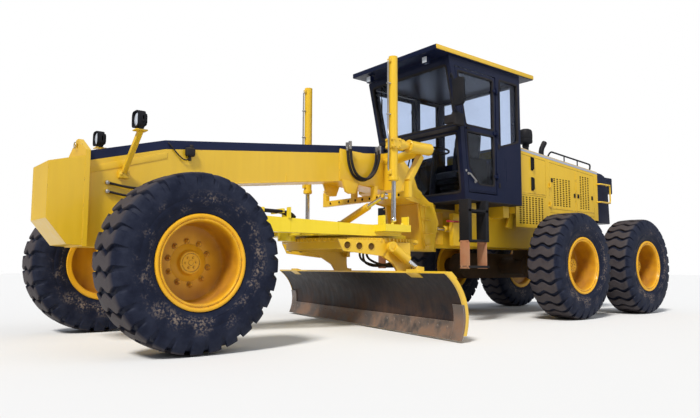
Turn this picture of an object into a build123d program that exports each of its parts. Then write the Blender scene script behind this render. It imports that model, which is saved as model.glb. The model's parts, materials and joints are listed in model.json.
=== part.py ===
from build123d import *

import os
from math import cos, radians, sin, sqrt

# Motor grader, in millimetres. +X is forward, +Y is the driver's left and +Z is up.
# The origin is on the ground, under the middle of the machine's length and width.

# ---- overall sizes ------------------------------------------------------------------------
WHEELBASE = 6170  # front axle to the middle of the tandem
TANDEM_SPACING = 1754  # between the two wheels of a tandem
TRACK = 2194  # between the middles of the left and right tyres
FRONT_OVERHANG = 842  # front axle to the face of the counterweight
TYRE_RADIUS = 687
TYRE_WIDTH = 454

LENGTH = FRONT_OVERHANG + WHEELBASE + TANDEM_SPACING / 2 + TYRE_RADIUS
AXLE_X = LENGTH / 2 - FRONT_OVERHANG  # front axle
TANDEM_X = AXLE_X - WHEELBASE
MIDDLE_X = TANDEM_X + TANDEM_SPACING / 2  # middle wheels
REAR_X = TANDEM_X - TANDEM_SPACING / 2  # rear wheels
WHEEL_Y = TRACK / 2
HUB_Z = TYRE_RADIUS

# ---- clearances ---------------------------------------------------------------------------
SEAT_GAP = 0.3  # between soft or curved faces that seat on each other
RUNNING_GAP = 0.05  # radial, shaft in its bore
PIN_GAP = 0.5  # between a pinned eye and its fork
SWING_GAP = 12  # between a door and its frame
HINGE_OFFSET = 16  # from a door's outer face to its hinge pins
DOOR_PIN_RADIUS = 8

# ---- wheels -------------------------------------------------------------------------------
BEAD_RADIUS = 317.5
FLANGE_RADIUS = 362.5
FLANGE_Y = 198  # from the wheel's middle to the outer face of its flange
RIM_WALL = 14
RIM_FLANGE_THICKNESS = 16
HUB_RADIUS = 92
SPINDLE_RADIUS = 45
FRONT_DISC_Y = -50  # the wheel disc's outer face, outboard of the wheel's middle
REAR_DISC_Y = -85
DISC_THICKNESS = 18

# ---- front frame --------------------------------------------------------------------------
BEAM_HALF = 160  # half the width of the box beam
COVER_HEIGHT = 85  # black hose cover on top of the beam
COVER_HALF = 150
PLATE_X = AXLE_X + 520  # rear face of the front plate
PLATE_THICKNESS = 40
PLATE_HALF = 250
BEAM_KINK = (AXLE_X - 160, 1725)
BEAM_FRONT_Z = 1545
BEAM_REAR = (AXLE_X - 2860, 2005)
NOSE_BOTTOM_Z = 820
NOSE_REAR_X = AXLE_X - 120
LEG_HALF = 300  # half the width of the gooseneck's leg
LEG_WALL = 30
HINGE_X = AXLE_X - 3770  # articulation pin
HINGE_TOP_Z = 1390
HINGE_LOW_Z = 930
HINGE_PIN_RADIUS = 45
HINGE_EAR = 45  # thickness of a hinge ear
HINGE_EYE_RADIUS = 105
HINGE_GAP = 4
FOLD_EYE_X = HINGE_X + 100  # articulation cylinder's eye on the front frame
FOLD_EYE_Y = 215
FOLD_Z = 1150
FOLD_PIN_RADIUS = 16

# ---- front axle ---------------------------------------------------------------------------
KINGPIN_Y = 850
KINGPIN_RADIUS = 32
HOUSING_RADIUS = 58
HOUSING_HALF = 108  # half the height of the kingpin housing
LEAN_Y = 700  # pin that a front wheel leans about
LEAN_Z = 640
LEAN_PIN_RADIUS = 30
LEAN_BAR_Z = 840
LEAN_BAR_X = AXLE_X - 142
TIE_X = AXLE_X - 170
TIE_Z = 500
TIE_RADIUS = 22
TIE_EYE_RADIUS = 40
TIE_EYE_BORE = 32  # wide, because the rod's right eye leans over its stud

# ---- drawbar, circle and blade ------------------------------------------------------------
BALL = (AXLE_X - 290, 0, 1100)
BALL_RADIUS = 75
CIRCLE_X = AXLE_X - 2480
RING_RADIUS = 765
RING_INNER = 640
RING_LOW_Z = 920
RING_TOP_Z = 962
SKIRT_RADIUS = 735
SKIRT_LOW_Z = 846
BLADE_ANGLE = 12  # the blade's left end stands this many degrees forward
LIFT_X = AXLE_X - 2430  # lift cylinders
LIFT_Y = 785
LIFT_PIVOT_Z = 1975
LIFT_FOOT_Z = 1156  # middle of the ball at a lift rod's foot
LIFT_BALL_RADIUS = 30
LIFT_PAD_Z = 1104  # top of the drawbar's pad under a lift rod
LIFT_EAR_X = 160  # from the rod to the inner face of each ear on the pad
LIFT_EAR = 20  # thickness of an ear
LINK_BAR_X = AXLE_X - 2690
SHIFT_X = LINK_BAR_X + 75  # centre-shift cylinder, in front of the link bar
SHIFT_EYE = (SHIFT_X, 432, 1455)
SHIFT_FOOT = (SHIFT_X, -350, 1170)
BLADE_LENGTH = 3965
BLADE_TOP_Z = 620
BLADE_LOW_Z = 20
BLADE_RADIUS = 480  # of the blade's front face
BLADE_THICKNESS = 20
BLADE_ARC = (370, 220)  # centre of that radius, ahead of the circle's centre and above ground
CARRIER_PIVOT = (-330, 240)
ARM_U = 735  # inner face of a circle arm, along the blade from its middle
ARM_THICKNESS = 30
TIP_U = 835
TIP_TOP = (-60, 870)
TIP_FOOT = (-390, 630)
TIP_BARREL_RADIUS = 52
TIP_MOUTH = 233  # top eye to the barrel's open end
TIP_ROD_START = 195  # top eye to the rod's inner end
SIDE_SHIFT = (-215, 320)  # axis of the side-shift cylinder
RAILS = ((-182, 150), (-140, 410))  # rear lower corner of each rail on the blade's back
RAIL_SIZE = (56, 40)
PIVOT_PIN_RADIUS = 30
TIP_PIN_RADIUS = 24
SHIFT_PIN_RADIUS = 20
TRUNNION_RADIUS = 25

# ---- rear frame, cab and hood -------------------------------------------------------------
REAR_FRAME_HALF = 350
RAIL_INNER_Y = 285  # inner face of a frame rail
REAR_FRAME_TOP = 1340
REAR_FRAME_LOW = 930
FRAME_REAR_X = AXLE_X - 7330
HITCH_X = FRAME_REAR_X - 90
HITCH_Z = 1010
HITCH_HOLE_RADIUS = 21
CAB_HALF = 725
CAB_FLOOR_Z = 1470
CAB_TOP_Z = 3150
CAB_REAR_X = AXLE_X - 4800
CAB_B_X = AXLE_X - 4285  # door's rear post
CAB_KNEE = (AXLE_X - 3590, 2330)
CAB_FRONT_TOP_X = AXLE_X - 3400
CAB_FRONT_LOW_X = AXLE_X - 3670
CAB_WALL = 45
ROOF_Z = 3200
ROOF_THICKNESS = 60
ROOF_FRONT_X = AXLE_X - 3140
ROOF_REAR_X = AXLE_X - 5080
ROOF_HALF = 760
HOOD_HALF = 600
HOOD_FRONT_X = AXLE_X - 4840
HOOD_REAR_X = AXLE_X - 6950
HOOD_LOW_Z = 1200
HOOD_SIDE_LOW_Z = 1380
HOOD_FRONT_TOP_Z = 2300
HOOD_REAR_TOP_Z = 2150
HOOD_WALL = 20
TAIL_REAR_X = AXLE_X - 7320
TAIL_LOW_Z = 1345

os.makedirs("parts", exist_ok=True)


def save(piece, name):
    """Labels a finished piece and writes it as one STEP file."""
    piece.part.label = name
    export_step(piece.part, f"parts/{name}.step")


def prism(plane, points, depth, mode=Mode.ADD):
    """Extrudes an outline of straight sides by a depth along the plane's normal."""
    with BuildSketch(plane) as outline:
        with BuildLine():
            Polyline(*points, close=True)
        make_face()
    extrude(outline.sketch, amount=depth, mode=mode)


def side_plate(points, y_low, y_high, mode=Mode.ADD, base=Plane.XY):
    """Extrudes an outline of (x, z) points from y_low to y_high."""
    origin = base.from_local_coords(Vector(0, y_high, 0))
    prism(Plane(origin=origin, x_dir=base.x_dir, z_dir=-base.y_dir), points, y_high - y_low, mode)


def plan_plate(points, z_low, z_high, mode=Mode.ADD, base=Plane.XY):
    """Extrudes an outline of (x, y) points from z_low to z_high."""
    origin = base.from_local_coords(Vector(0, 0, z_low))
    prism(Plane(origin=origin, x_dir=base.x_dir, z_dir=base.z_dir), points, z_high - z_low, mode)


def front_plate(points, x_low, x_high, mode=Mode.ADD, base=Plane.XY):
    """Extrudes an outline of (y, z) points from x_low to x_high."""
    origin = base.from_local_coords(Vector(x_low, 0, 0))
    prism(Plane(origin=origin, x_dir=base.y_dir, z_dir=base.x_dir), points, x_high - x_low, mode)


def block(x, y, z, mode=Mode.ADD, base=Plane.XY):
    """A box given by its (low, high) pair along each axis."""
    corners = ((x[0], y[0]), (x[1], y[0]), (x[1], y[1]), (x[0], y[1]))
    plan_plate(corners, z[0], z[1], mode, base)


def bar(start, end, radius, mode=Mode.ADD, base=Plane.XY):
    """A round bar between two points."""
    start = base.from_local_coords(Vector(*start))
    along = base.from_local_coords(Vector(*end)) - start
    with BuildSketch(Plane(origin=start, z_dir=along.normalized())) as section:
        Circle(radius)
    extrude(section.sketch, amount=along.length, mode=mode)


def square_bar(start, end, width, height, mode=Mode.ADD, base=Plane.XY):
    """A straight rectangular bar between two points, its height upright."""
    start = base.from_local_coords(Vector(*start))
    along = base.from_local_coords(Vector(*end)) - start
    across = Vector(0, 0, 1).cross(along).normalized()
    with BuildSketch(Plane(origin=start, x_dir=across, z_dir=along.normalized())) as section:
        Rectangle(width, height)
    extrude(section.sketch, amount=along.length, mode=mode)


def eye_disc(centre, across, half, radius, mode=Mode.ADD, base=Plane.XY):
    """A disc that is centred on a pivot; across is the pivot's direction."""
    step = Vector(*across) * half
    bar(tuple(Vector(*centre) - step), tuple(Vector(*centre) + step), radius, mode, base)


def toward(start, end, distance):
    """The point that lies a distance from start on the way to end."""
    step = (Vector(*end) - Vector(*start)).normalized() * distance
    return tuple(Vector(*start) + step)


# ---- wheels -------------------------------------------------------------------------------


def make_tyre(name, x, side):
    """A tyre carcass whose crown is flat, for a wheel on side +1 (left) or -1 (right)."""
    half = TYRE_WIDTH / 2
    crown_half = half - 62
    bead_half = FLANGE_Y - RIM_FLANGE_THICKNESS - SEAT_GAP
    centre = (x, side * WHEEL_Y, HUB_Z)
    with BuildPart() as tyre:
        with BuildSketch(Plane(origin=centre, x_dir=(1, 0, 0), z_dir=(0, 0, 1))):
            with BuildLine():
                Polyline(
                    (BEAD_RADIUS + SEAT_GAP, -bead_half),
                    (BEAD_RADIUS + SEAT_GAP, bead_half),
                    (FLANGE_RADIUS + SEAT_GAP, bead_half),
                    (FLANGE_RADIUS + 40, half - 12),
                )
                ThreePointArc(
                    (FLANGE_RADIUS + 40, half - 12),
                    (FLANGE_RADIUS + 130, half),
                    (TYRE_RADIUS - 90, half - 6),
                )
                Polyline(
                    (TYRE_RADIUS - 90, half - 6),
                    (TYRE_RADIUS - 22, half - 22),
                    (TYRE_RADIUS, crown_half),
                    (TYRE_RADIUS, -crown_half),
                    (TYRE_RADIUS - 22, 22 - half),
                    (TYRE_RADIUS - 90, 6 - half),
                )
                ThreePointArc(
                    (TYRE_RADIUS - 90, 6 - half),
                    (FLANGE_RADIUS + 130, -half),
                    (FLANGE_RADIUS + 40, 12 - half),
                )
                Polyline(
                    (FLANGE_RADIUS + 40, 12 - half),
                    (FLANGE_RADIUS + SEAT_GAP, -bead_half),
                    (BEAD_RADIUS + SEAT_GAP, -bead_half),
                )
            make_face()
        revolve(axis=Axis(centre, (0, 1, 0)))
    save(tyre, name)


def make_rim(name, x, side, disc_y, hub_in, hub_out):
    """A rim with its disc and hub. disc_y, hub_in and hub_out are outboard of its middle."""
    inner = BEAD_RADIUS - RIM_WALL
    flange_in = FLANGE_Y - RIM_FLANGE_THICKNESS
    centre = (x, side * WHEEL_Y, HUB_Z)
    with BuildPart() as rim:
        with BuildSketch(Plane(origin=centre, x_dir=(1, 0, 0), z_dir=(0, 0, 1))):
            with BuildLine():
                Polyline(
                    (inner, -FLANGE_Y),
                    (FLANGE_RADIUS, -FLANGE_Y),
                    (FLANGE_RADIUS, -flange_in),
                    (BEAD_RADIUS, -flange_in),
                    (BEAD_RADIUS, flange_in),
                    (FLANGE_RADIUS, flange_in),
                    (FLANGE_RADIUS, FLANGE_Y),
                    (inner, FLANGE_Y),
                    close=True,
                )
            make_face()
            near, far = sorted((side * disc_y, side * (disc_y - DISC_THICKNESS)))
            with Locations(((SPINDLE_RADIUS + inner) / 2 + 15, (near + far) / 2)):
                Rectangle(inner - SPINDLE_RADIUS - 28, far - near)
            near, far = sorted((side * hub_in, side * hub_out))
            with BuildLine():
                Polyline(
                    (SPINDLE_RADIUS + RUNNING_GAP, near),
                    (HUB_RADIUS, near),
                    (HUB_RADIUS, far),
                    (SPINDLE_RADIUS + RUNNING_GAP, far),
                    close=True,
                )
            make_face()
        revolve(axis=Axis(centre, (0, 1, 0)))
        cap_start = (x, side * (WHEEL_Y + hub_out), HUB_Z)
        cap_end = (x, side * (WHEEL_Y + hub_out + 22), HUB_Z)
        bar(cap_start, cap_end, HUB_RADIUS)
    save(rim, name)


def hinge_pins(x, wall_y, heights, back):
    """Fixed hinge halves on a wall's outer face: pins between two tabs that reach back from x."""
    side = 1 if wall_y > 0 else -1
    y = wall_y + side * HINGE_OFFSET
    for z in heights:
        bar((x, y, z - 40), (x, y, z + 40), DOOR_PIN_RADIUS)
        for level in (z - 40, z + 26):
            across = sorted((wall_y, y + side * 8))
            block(sorted((x + 8 * (1 if back < 0 else -1), x + back)), across, (level, level + 14))


def hinge_leaves(x, wall_y, heights, reach, skin):
    """Moving hinge halves on a door whose outer face lies a skin's depth inside the wall."""
    side = 1 if wall_y > 0 else -1
    y = wall_y + side * HINGE_OFFSET
    for z in heights:
        bar((x, y, z - 25), (x, y, z + 25), DOOR_PIN_RADIUS + 6)
        block(sorted((x, x + reach)), sorted((wall_y - side * skin, y)), (z - 25, z + 25))
        bar((x, y, z - 25), (x, y, z + 25), DOOR_PIN_RADIUS + RUNNING_GAP, mode=Mode.SUBTRACT)


SIDES = {"left": 1, "right": -1}
for side_name, side in SIDES.items():
    make_tyre(f"front_tyre_{side_name}", AXLE_X, side)
    make_rim(f"front_rim_{side_name}", AXLE_X, side, FRONT_DISC_Y, -95, -22)
    for row, x in (("middle", MIDDLE_X), ("rear", REAR_X)):
        make_tyre(f"{row}_tyre_{side_name}", x, side)
        make_rim(f"{row}_rim_{side_name}", x, side, REAR_DISC_Y, -105, 20)

# ---- front frame --------------------------------------------------------------------------

BEAM_SIDE = (
    (PLATE_X, BEAM_FRONT_Z),
    BEAM_KINK,
    BEAM_REAR,
    (AXLE_X - 2860, 1560),
    (AXLE_X - 2250, 1620),
    (AXLE_X - 1050, 1495),
    (AXLE_X - 620, 1440),
    (NOSE_REAR_X, 1250),
    (NOSE_REAR_X, NOSE_BOTTOM_Z),
    (PLATE_X, NOSE_BOTTOM_Z),
)
GOOSENECK_SIDE = (
    BEAM_REAR,
    (AXLE_X - 3060, 1925),
    (AXLE_X - 3200, 1800),
    (AXLE_X - 3300, 1590),
    (AXLE_X - 3490, 1460),
    (AXLE_X - 3560, 1450),
    (AXLE_X - 3300, 1440),
    (AXLE_X - 3060, 1480),
    (AXLE_X - 2860, 1560),
)
LEG_SIDE = (
    (AXLE_X - 3300, 1440),
    (AXLE_X - 3560, 1450),
    (AXLE_X - 3650, 1220),
    (AXLE_X - 3560, 870),
    (AXLE_X - 3390, 870),
)
LIFT_ARM_X = AXLE_X - 2900
SHAFT_RADIUS = 35
SHAFT_TIP_X = LIFT_X - 68

with BuildPart() as front_frame:
    side_plate(BEAM_SIDE, -BEAM_HALF, BEAM_HALF)
    side_plate(GOOSENECK_SIDE, -LEG_HALF, LEG_HALF)
    for side in (1, -1):
        low, high = sorted((side * LEG_HALF, side * (LEG_HALF - LEG_WALL)))
        side_plate(LEG_SIDE, low, high)
        # lift arm, its tube and the shaft that the lift cylinder hangs on
        bar((LIFT_ARM_X, 0, 1880), (LIFT_ARM_X, side * LIFT_Y, LIFT_PIVOT_Z - 5), 55)
        tube = (
            (AXLE_X - 2985, side * LIFT_Y, LIFT_PIVOT_Z),
            (AXLE_X - 2650, side * LIFT_Y, LIFT_PIVOT_Z),
        )
        bar(*tube, 66)
        bar(tube[1], (SHAFT_TIP_X, side * LIFT_Y, LIFT_PIVOT_Z), SHAFT_RADIUS)
        # lugs for the articulation cylinder
        for z in (FOLD_Z - 54, FOLD_Z + 34):
            low, high = sorted((side * (FOLD_EYE_Y - 45), side * (FOLD_EYE_Y + 45)))
            block((FOLD_EYE_X - 30, AXLE_X - 3460), (low, high), (z, z + 20))
    # front and rear walls of the leg
    block((AXLE_X - 3470, AXLE_X - 3430), (-LEG_HALF, LEG_HALF), (880, 1458))
    block((AXLE_X - 3540, AXLE_X - 3400), (-LEG_HALF, LEG_HALF), (870, 900))
    for z in (HINGE_TOP_Z, HINGE_LOW_Z):
        lower = z - 1.5 * HINGE_EAR - HINGE_GAP
        for level in (lower, z + 0.5 * HINGE_EAR + HINGE_GAP):
            block((HINGE_X, AXLE_X - 3450), (-90, 90), (level, level + HINGE_EAR))
            bar((HINGE_X, 0, level), (HINGE_X, 0, level + HINGE_EAR), HINGE_EYE_RADIUS)
        bar((HINGE_X, 0, lower), (HINGE_X, 0, lower + 3 * HINGE_EAR + 2 * HINGE_GAP), HINGE_PIN_RADIUS)
    # link bar with the centre-shift cylinder's pin, and its hangers
    link_x = (LINK_BAR_X - 25, LINK_BAR_X + 25)
    block(link_x, (-LIFT_Y + 10, LIFT_Y - 10), (1420, 1490))
    for y in (-LIFT_Y + 45, -180, 180, LIFT_Y - 45):
        block(link_x, (y - 35, y + 35), (1490, 1600))
    for side in (1, -1):
        start = (LINK_BAR_X, side * (LIFT_Y - 45), 1600)
        square_bar(start, (LIFT_ARM_X, side * (LIFT_Y - 60), 1900), 70, 60)
    bar((LINK_BAR_X, *SHIFT_EYE[1:]), (SHIFT_X + 28, *SHIFT_EYE[1:]), SHIFT_PIN_RADIUS)
    # ball that the drawbar pulls on
    bar((NOSE_REAR_X, 0, BALL[2]), BALL, 35)
    with Locations(BALL):
        Sphere(BALL_RADIUS)
save(front_frame, "front_frame")

with BuildPart() as frame_cover:
    side_plate(
        (
            (PLATE_X, BEAM_FRONT_Z),
            BEAM_KINK,
            BEAM_REAR,
            (BEAM_REAR[0], BEAM_REAR[1] + COVER_HEIGHT),
            (BEAM_KINK[0], BEAM_KINK[1] + COVER_HEIGHT),
            (PLATE_X, BEAM_FRONT_Z + COVER_HEIGHT),
        ),
        -COVER_HALF,
        COVER_HALF,
    )
save(frame_cover, "frame_top_cover")

PLATE_FRONT_X = PLATE_X + PLATE_THICKNESS
WEIGHT_HALF = 247
EYE_Z = 1690
EYE_RADIUS = 22
with BuildPart() as counterweight:
    side_plate(
        (
            (PLATE_FRONT_X, 1575),
            (AXLE_X + FRONT_OVERHANG, 1500),
            (AXLE_X + FRONT_OVERHANG, 1040),
            (AXLE_X + 680, 835),
            (PLATE_FRONT_X, 828),
        ),
        -WEIGHT_HALF,
        WEIGHT_HALF,
    )
    front_plate(
        (
            (-PLATE_HALF, NOSE_BOTTOM_Z),
            (PLATE_HALF, NOSE_BOTTOM_Z),
            (PLATE_HALF, 1625),
            (30, 1745),
            (-30, 1745),
            (-PLATE_HALF, 1625),
        ),
        PLATE_X,
        PLATE_FRONT_X,
    )
    bar((PLATE_X, 0, EYE_Z), (PLATE_FRONT_X, 0, EYE_Z), EYE_RADIUS, mode=Mode.SUBTRACT)
save(counterweight, "front_counterweight")

LAMP = (AXLE_X + 216, 516, 1876)  # middle of the left headlamp
LAMP_RADIUS = 74
LAMP_DEPTH = 90
LAMP_ARM = 40  # side of the square arm
with BuildPart() as headlamps:
    for side in (1, -1):
        foot_x = LAMP[0]
        low_y = sorted((side * BEAM_HALF, side * (BEAM_HALF + LAMP_ARM)))
        shelf = (LAMP[0] - 10, side * LAMP[1], LAMP[2] - LAMP_RADIUS - 8)
        block((foot_x - 45, foot_x + 45), low_y, (1420, 1485))
        square_bar((foot_x, side * (BEAM_HALF + LAMP_ARM / 2), 1470), shelf, LAMP_ARM, LAMP_ARM)
        block(
            (shelf[0] - 45, shelf[0] + 55),
            (shelf[1] - 45, shelf[1] + 45),
            (shelf[2] - 15, shelf[2] + 10),
        )
        back = (LAMP[0] - LAMP_DEPTH / 2, side * LAMP[1], LAMP[2])
        bar(back, (LAMP[0] + LAMP_DEPTH / 2, *back[1:]), LAMP_RADIUS)
save(headlamps, "headlamps")

# ---- front axle ---------------------------------------------------------------------------

with BuildPart() as front_axle:
    block((AXLE_X - 85, AXLE_X + 85), (-LEAN_Y + 60, LEAN_Y - 60), (592, 782))
    block((AXLE_X - 85, AXLE_X + 85), (-120, 120), (782, NOSE_BOTTOM_Z))
    for side in (1, -1):
        y = side * LEAN_Y
        bar((AXLE_X - 85, y, LEAN_Z), (AXLE_X + 85, y, LEAN_Z), 72)
        bar((AXLE_X - 122, y, LEAN_Z), (AXLE_X + 122, y, LEAN_Z), LEAN_PIN_RADIUS)
save(front_axle, "front_axle")


def make_lean_yoke(name, side):
    """The yoke that leans about the axle's pin and holds the kingpin in a bore."""
    y = side * KINGPIN_Y
    low, high = HUB_Z - HOUSING_HALF, HUB_Z + HOUSING_HALF
    with BuildPart() as yoke:
        for x in (AXLE_X - 122, AXLE_X + 88):
            bar((x, side * LEAN_Y, LEAN_Z), (x + 34, side * LEAN_Y, LEAN_Z), 72)
            ear = ((LEAN_Y - 30, LEAN_Z + 66), (LEAN_Y + 40, LEAN_Z - 60), (830, low), (830, high))
            front_plate([(side * across, up) for across, up in ear], x, x + 34)
        # arm up to the lean bar
        arm = (
            (LEAN_Y - 68, LEAN_Z),
            (LEAN_Y + 68, LEAN_Z),
            (LEAN_Y + 30, LEAN_BAR_Z),
            (LEAN_Y - 30, LEAN_BAR_Z),
        )
        front_plate([(side * across, up) for across, up in arm], AXLE_X - 122, AXLE_X - 88)
        bar((AXLE_X - 122, side * LEAN_Y, LEAN_BAR_Z), (AXLE_X - 88, side * LEAN_Y, LEAN_BAR_Z), 30)
        bar((AXLE_X - 160, side * LEAN_Y, LEAN_BAR_Z), (AXLE_X - 122, side * LEAN_Y, LEAN_BAR_Z), 16)
        block((AXLE_X - 122, AXLE_X + 122), sorted((side * 790, side * 840)), (low, high))
        bar((AXLE_X, y, low), (AXLE_X, y, high), HOUSING_RADIUS)
        bar((AXLE_X, y, low), (AXLE_X, y, high), KINGPIN_RADIUS + RUNNING_GAP, mode=Mode.SUBTRACT)
        for x in (AXLE_X - 122, AXLE_X + 88):
            ends = ((x, side * LEAN_Y, LEAN_Z), (x + 34, side * LEAN_Y, LEAN_Z))
            bar(*ends, LEAN_PIN_RADIUS + RUNNING_GAP, mode=Mode.SUBTRACT)
    save(yoke, name)


def make_knuckle(name, side):
    """The steered knuckle with its kingpin, spindle and steering arm."""
    low, high = HUB_Z - HOUSING_HALF - 4, HUB_Z + HOUSING_HALF + 4
    plate = (KINGPIN_Y + 72, KINGPIN_Y + 110)
    y = side * KINGPIN_Y
    with BuildPart() as knuckle:
        for z in (low - 38, high):
            block((AXLE_X - 62, AXLE_X + 62), sorted((y, side * plate[0])), (z, z + 38))
            bar((AXLE_X, y, z), (AXLE_X, y, z + 38), 62)
        block(
            (AXLE_X - 70, AXLE_X + 70),
            sorted((side * plate[0], side * plate[1])),
            (low - 38, high + 38),
        )
        bar((AXLE_X, y, low), (AXLE_X, y, high), KINGPIN_RADIUS)
        bar((AXLE_X, side * plate[1], HUB_Z), (AXLE_X, side * (WHEEL_Y - 34), HUB_Z), SPINDLE_RADIUS)
        # steering arm and its ball stud
        block((TIE_X, AXLE_X - 40), (y - 30, y + 30), (low - 27, low - 8))
        bar((TIE_X, y, low - 27), (TIE_X, y, low - 8), 34)
        bar((TIE_X, y, TIE_Z - 20), (TIE_X, y, low - 27), 14)
    save(knuckle, name)


for side_name, side in SIDES.items():
    make_lean_yoke(f"lean_yoke_{side_name}", side)
    make_knuckle(f"steering_knuckle_{side_name}", side)

with BuildPart() as lean_bar:
    block((LEAN_BAR_X - 15, LEAN_BAR_X + 15), (-LEAN_Y, LEAN_Y), (LEAN_BAR_Z - 30, LEAN_BAR_Z + 30))
    for y in (-LEAN_Y, LEAN_Y):
        bar((LEAN_BAR_X - 15, y, LEAN_BAR_Z), (LEAN_BAR_X + 15, y, LEAN_BAR_Z), 30)
        bar(
            (LEAN_BAR_X - 15, y, LEAN_BAR_Z),
            (LEAN_BAR_X + 15, y, LEAN_BAR_Z),
            16 + RUNNING_GAP,
            mode=Mode.SUBTRACT,
        )
save(lean_bar, "lean_bar")

TIE_PIVOT_Y = KINGPIN_Y - 62
TIE_PIN_RADIUS = 9
with BuildPart() as tie_end:
    bar((TIE_X, KINGPIN_Y, TIE_Z - 22), (TIE_X, KINGPIN_Y, TIE_Z + 12), 30)
    bar(
        (TIE_X, KINGPIN_Y, TIE_Z - 22),
        (TIE_X, KINGPIN_Y, TIE_Z + 12),
        14 + RUNNING_GAP,
        mode=Mode.SUBTRACT,
    )
    block((TIE_X - 10, TIE_X + 10), (TIE_PIVOT_Y - 14, KINGPIN_Y - 28), (TIE_Z - 12, TIE_Z + 12))
    bar((TIE_X - 34, TIE_PIVOT_Y, TIE_Z), (TIE_X + 34, TIE_PIVOT_Y, TIE_Z), TIE_PIN_RADIUS)
save(tie_end, "tie_rod_end")

with BuildPart() as tie_rod:
    bar((TIE_X, -KINGPIN_Y + 38, TIE_Z), (TIE_X, TIE_PIVOT_Y - 30, TIE_Z), TIE_RADIUS)
    eye_disc((TIE_X, -KINGPIN_Y, TIE_Z), (0, 0, 1), 8, TIE_EYE_RADIUS)
    eye_disc((TIE_X, -KINGPIN_Y, TIE_Z), (0, 0, 1), 30, TIE_EYE_BORE, mode=Mode.SUBTRACT)
    for x in (TIE_X - 24, TIE_X + 12):
        block((x, x + 12), (TIE_PIVOT_Y - 60, TIE_PIVOT_Y + 18), (TIE_Z - 20, TIE_Z + 20))
        hole = ((x, TIE_PIVOT_Y, TIE_Z), (x + 12, TIE_PIVOT_Y, TIE_Z))
        bar(*hole, TIE_PIN_RADIUS + RUNNING_GAP, mode=Mode.SUBTRACT)
save(tie_rod, "tie_rod")

# ---- drawbar ------------------------------------------------------------------------------

with BuildPart() as swivel:
    bar((BALL[0], 0, BALL[2] - 60), (BALL[0], 0, BALL[2] + 60), 105)
    bar((BALL[0], -156, BALL[2]), (BALL[0], 156, BALL[2]), TRUNNION_RADIUS)
    with Locations(BALL):
        Sphere(BALL_RADIUS + RUNNING_GAP, mode=Mode.SUBTRACT)
    block((BALL[0], BALL[0] + 120), (-56, 56), (BALL[2] - 52, BALL[2] + 52), mode=Mode.SUBTRACT)
save(swivel, "drawbar_swivel")

RAIL_OUTER = ((AXLE_X - 450, 175), (AXLE_X - 2560, 765))
RAIL_INNER = ((AXLE_X - 2560, 672), (AXLE_X - 560, 112))
DRAWBAR_SIDE = (
    (AXLE_X - 180, 1185),
    (AXLE_X - 560, 1185),
    (AXLE_X - 2160, 1104),
    (AXLE_X - 3200, 1104),
    (AXLE_X - 3200, 985),
    (AXLE_X - 2160, 985),
    (AXLE_X - 560, 1015),
    (AXLE_X - 180, 1015),
)
TABLE_TOP_Z = 1015
GUIDE_RADIUS = RING_INNER - RUNNING_GAP
with BuildPart() as drawbar:
    for side in (1, -1):
        rail = [(x, side * y) for x, y in RAIL_OUTER + RAIL_INNER]
        plan_plate(rail, 960, 1200)
        low, high = sorted((side * 112, side * 175))
        block((AXLE_X - 570, BALL[0]), (low, high), (1015, 1185))
        bar((BALL[0], low, BALL[2]), (BALL[0], high, BALL[2]), 85)
    block((AXLE_X - 600, AXLE_X - 460), (-175, 175), (1015, 1185))
    side_plate(DRAWBAR_SIDE, -900, 900, mode=Mode.INTERSECT)
    for side in (1, -1):
        low, high = sorted((side * 112, side * 175))
        # lift pad and its two ears
        pad_half = LIFT_EAR_X + LIFT_EAR + 2
        block(
            (LIFT_X - pad_half, LIFT_X + pad_half),
            sorted((side * 640, side * 860)),
            (1030, LIFT_PAD_Z),
        )
        for x in (LIFT_X - LIFT_EAR_X - LIFT_EAR, LIFT_X + LIFT_EAR_X):
            block((x, x + LIFT_EAR), sorted((side * 735, side * 835)), (LIFT_PAD_Z, LIFT_PAD_Z + 91))
        ends = ((BALL[0], low, BALL[2]), (BALL[0], high, BALL[2]))
        bar(*ends, TRUNNION_RADIUS + RUNNING_GAP, mode=Mode.SUBTRACT)
    # table over the circle, and the guide that the circle turns around
    table = ((AXLE_X - 1700, 440), (AXLE_X - 2560, 680), (AXLE_X - 2560, -680), (AXLE_X - 1700, -440))
    plan_plate(table, 985, TABLE_TOP_Z)
    centre = (CIRCLE_X, 0)
    bar((*centre, 900), (*centre, TABLE_TOP_Z), GUIDE_RADIUS)
    bar((*centre, 892), (*centre, RING_LOW_Z - 0.5), 662)
    bar((*centre, 880), (*centre, 985), 590, mode=Mode.SUBTRACT)
    # circle drive: gearbox and motor ahead of the ring
    bar((AXLE_X - 1600, 0, 930), (AXLE_X - 1600, 0, 1130), 95)
    bar((AXLE_X - 1600, 0, 1130), (AXLE_X - 1600, 0, 1230), 55)
    block((AXLE_X - 1760, AXLE_X - 1560), (-330, 330), (985, TABLE_TOP_Z))
    block((SHIFT_X + 72, SHIFT_X + 90), (SHIFT_FOOT[1] - 60, SHIFT_FOOT[1] + 60), (TABLE_TOP_Z, 1200))
    # eye on top of the left rail
    block((AXLE_X - 1355, AXLE_X - 1335), (395, 445), (1140, 1250))
save(drawbar, "drawbar")

# ---- circle and blade ---------------------------------------------------------------------
# Lengths along the blade are measured from its middle, and depths from the circle's centre.

TURN = radians(BLADE_ANGLE)
BLADE = Plane(origin=(CIRCLE_X, 0, 0), x_dir=(cos(TURN), -sin(TURN), 0), z_dir=(0, 0, 1))

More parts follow.
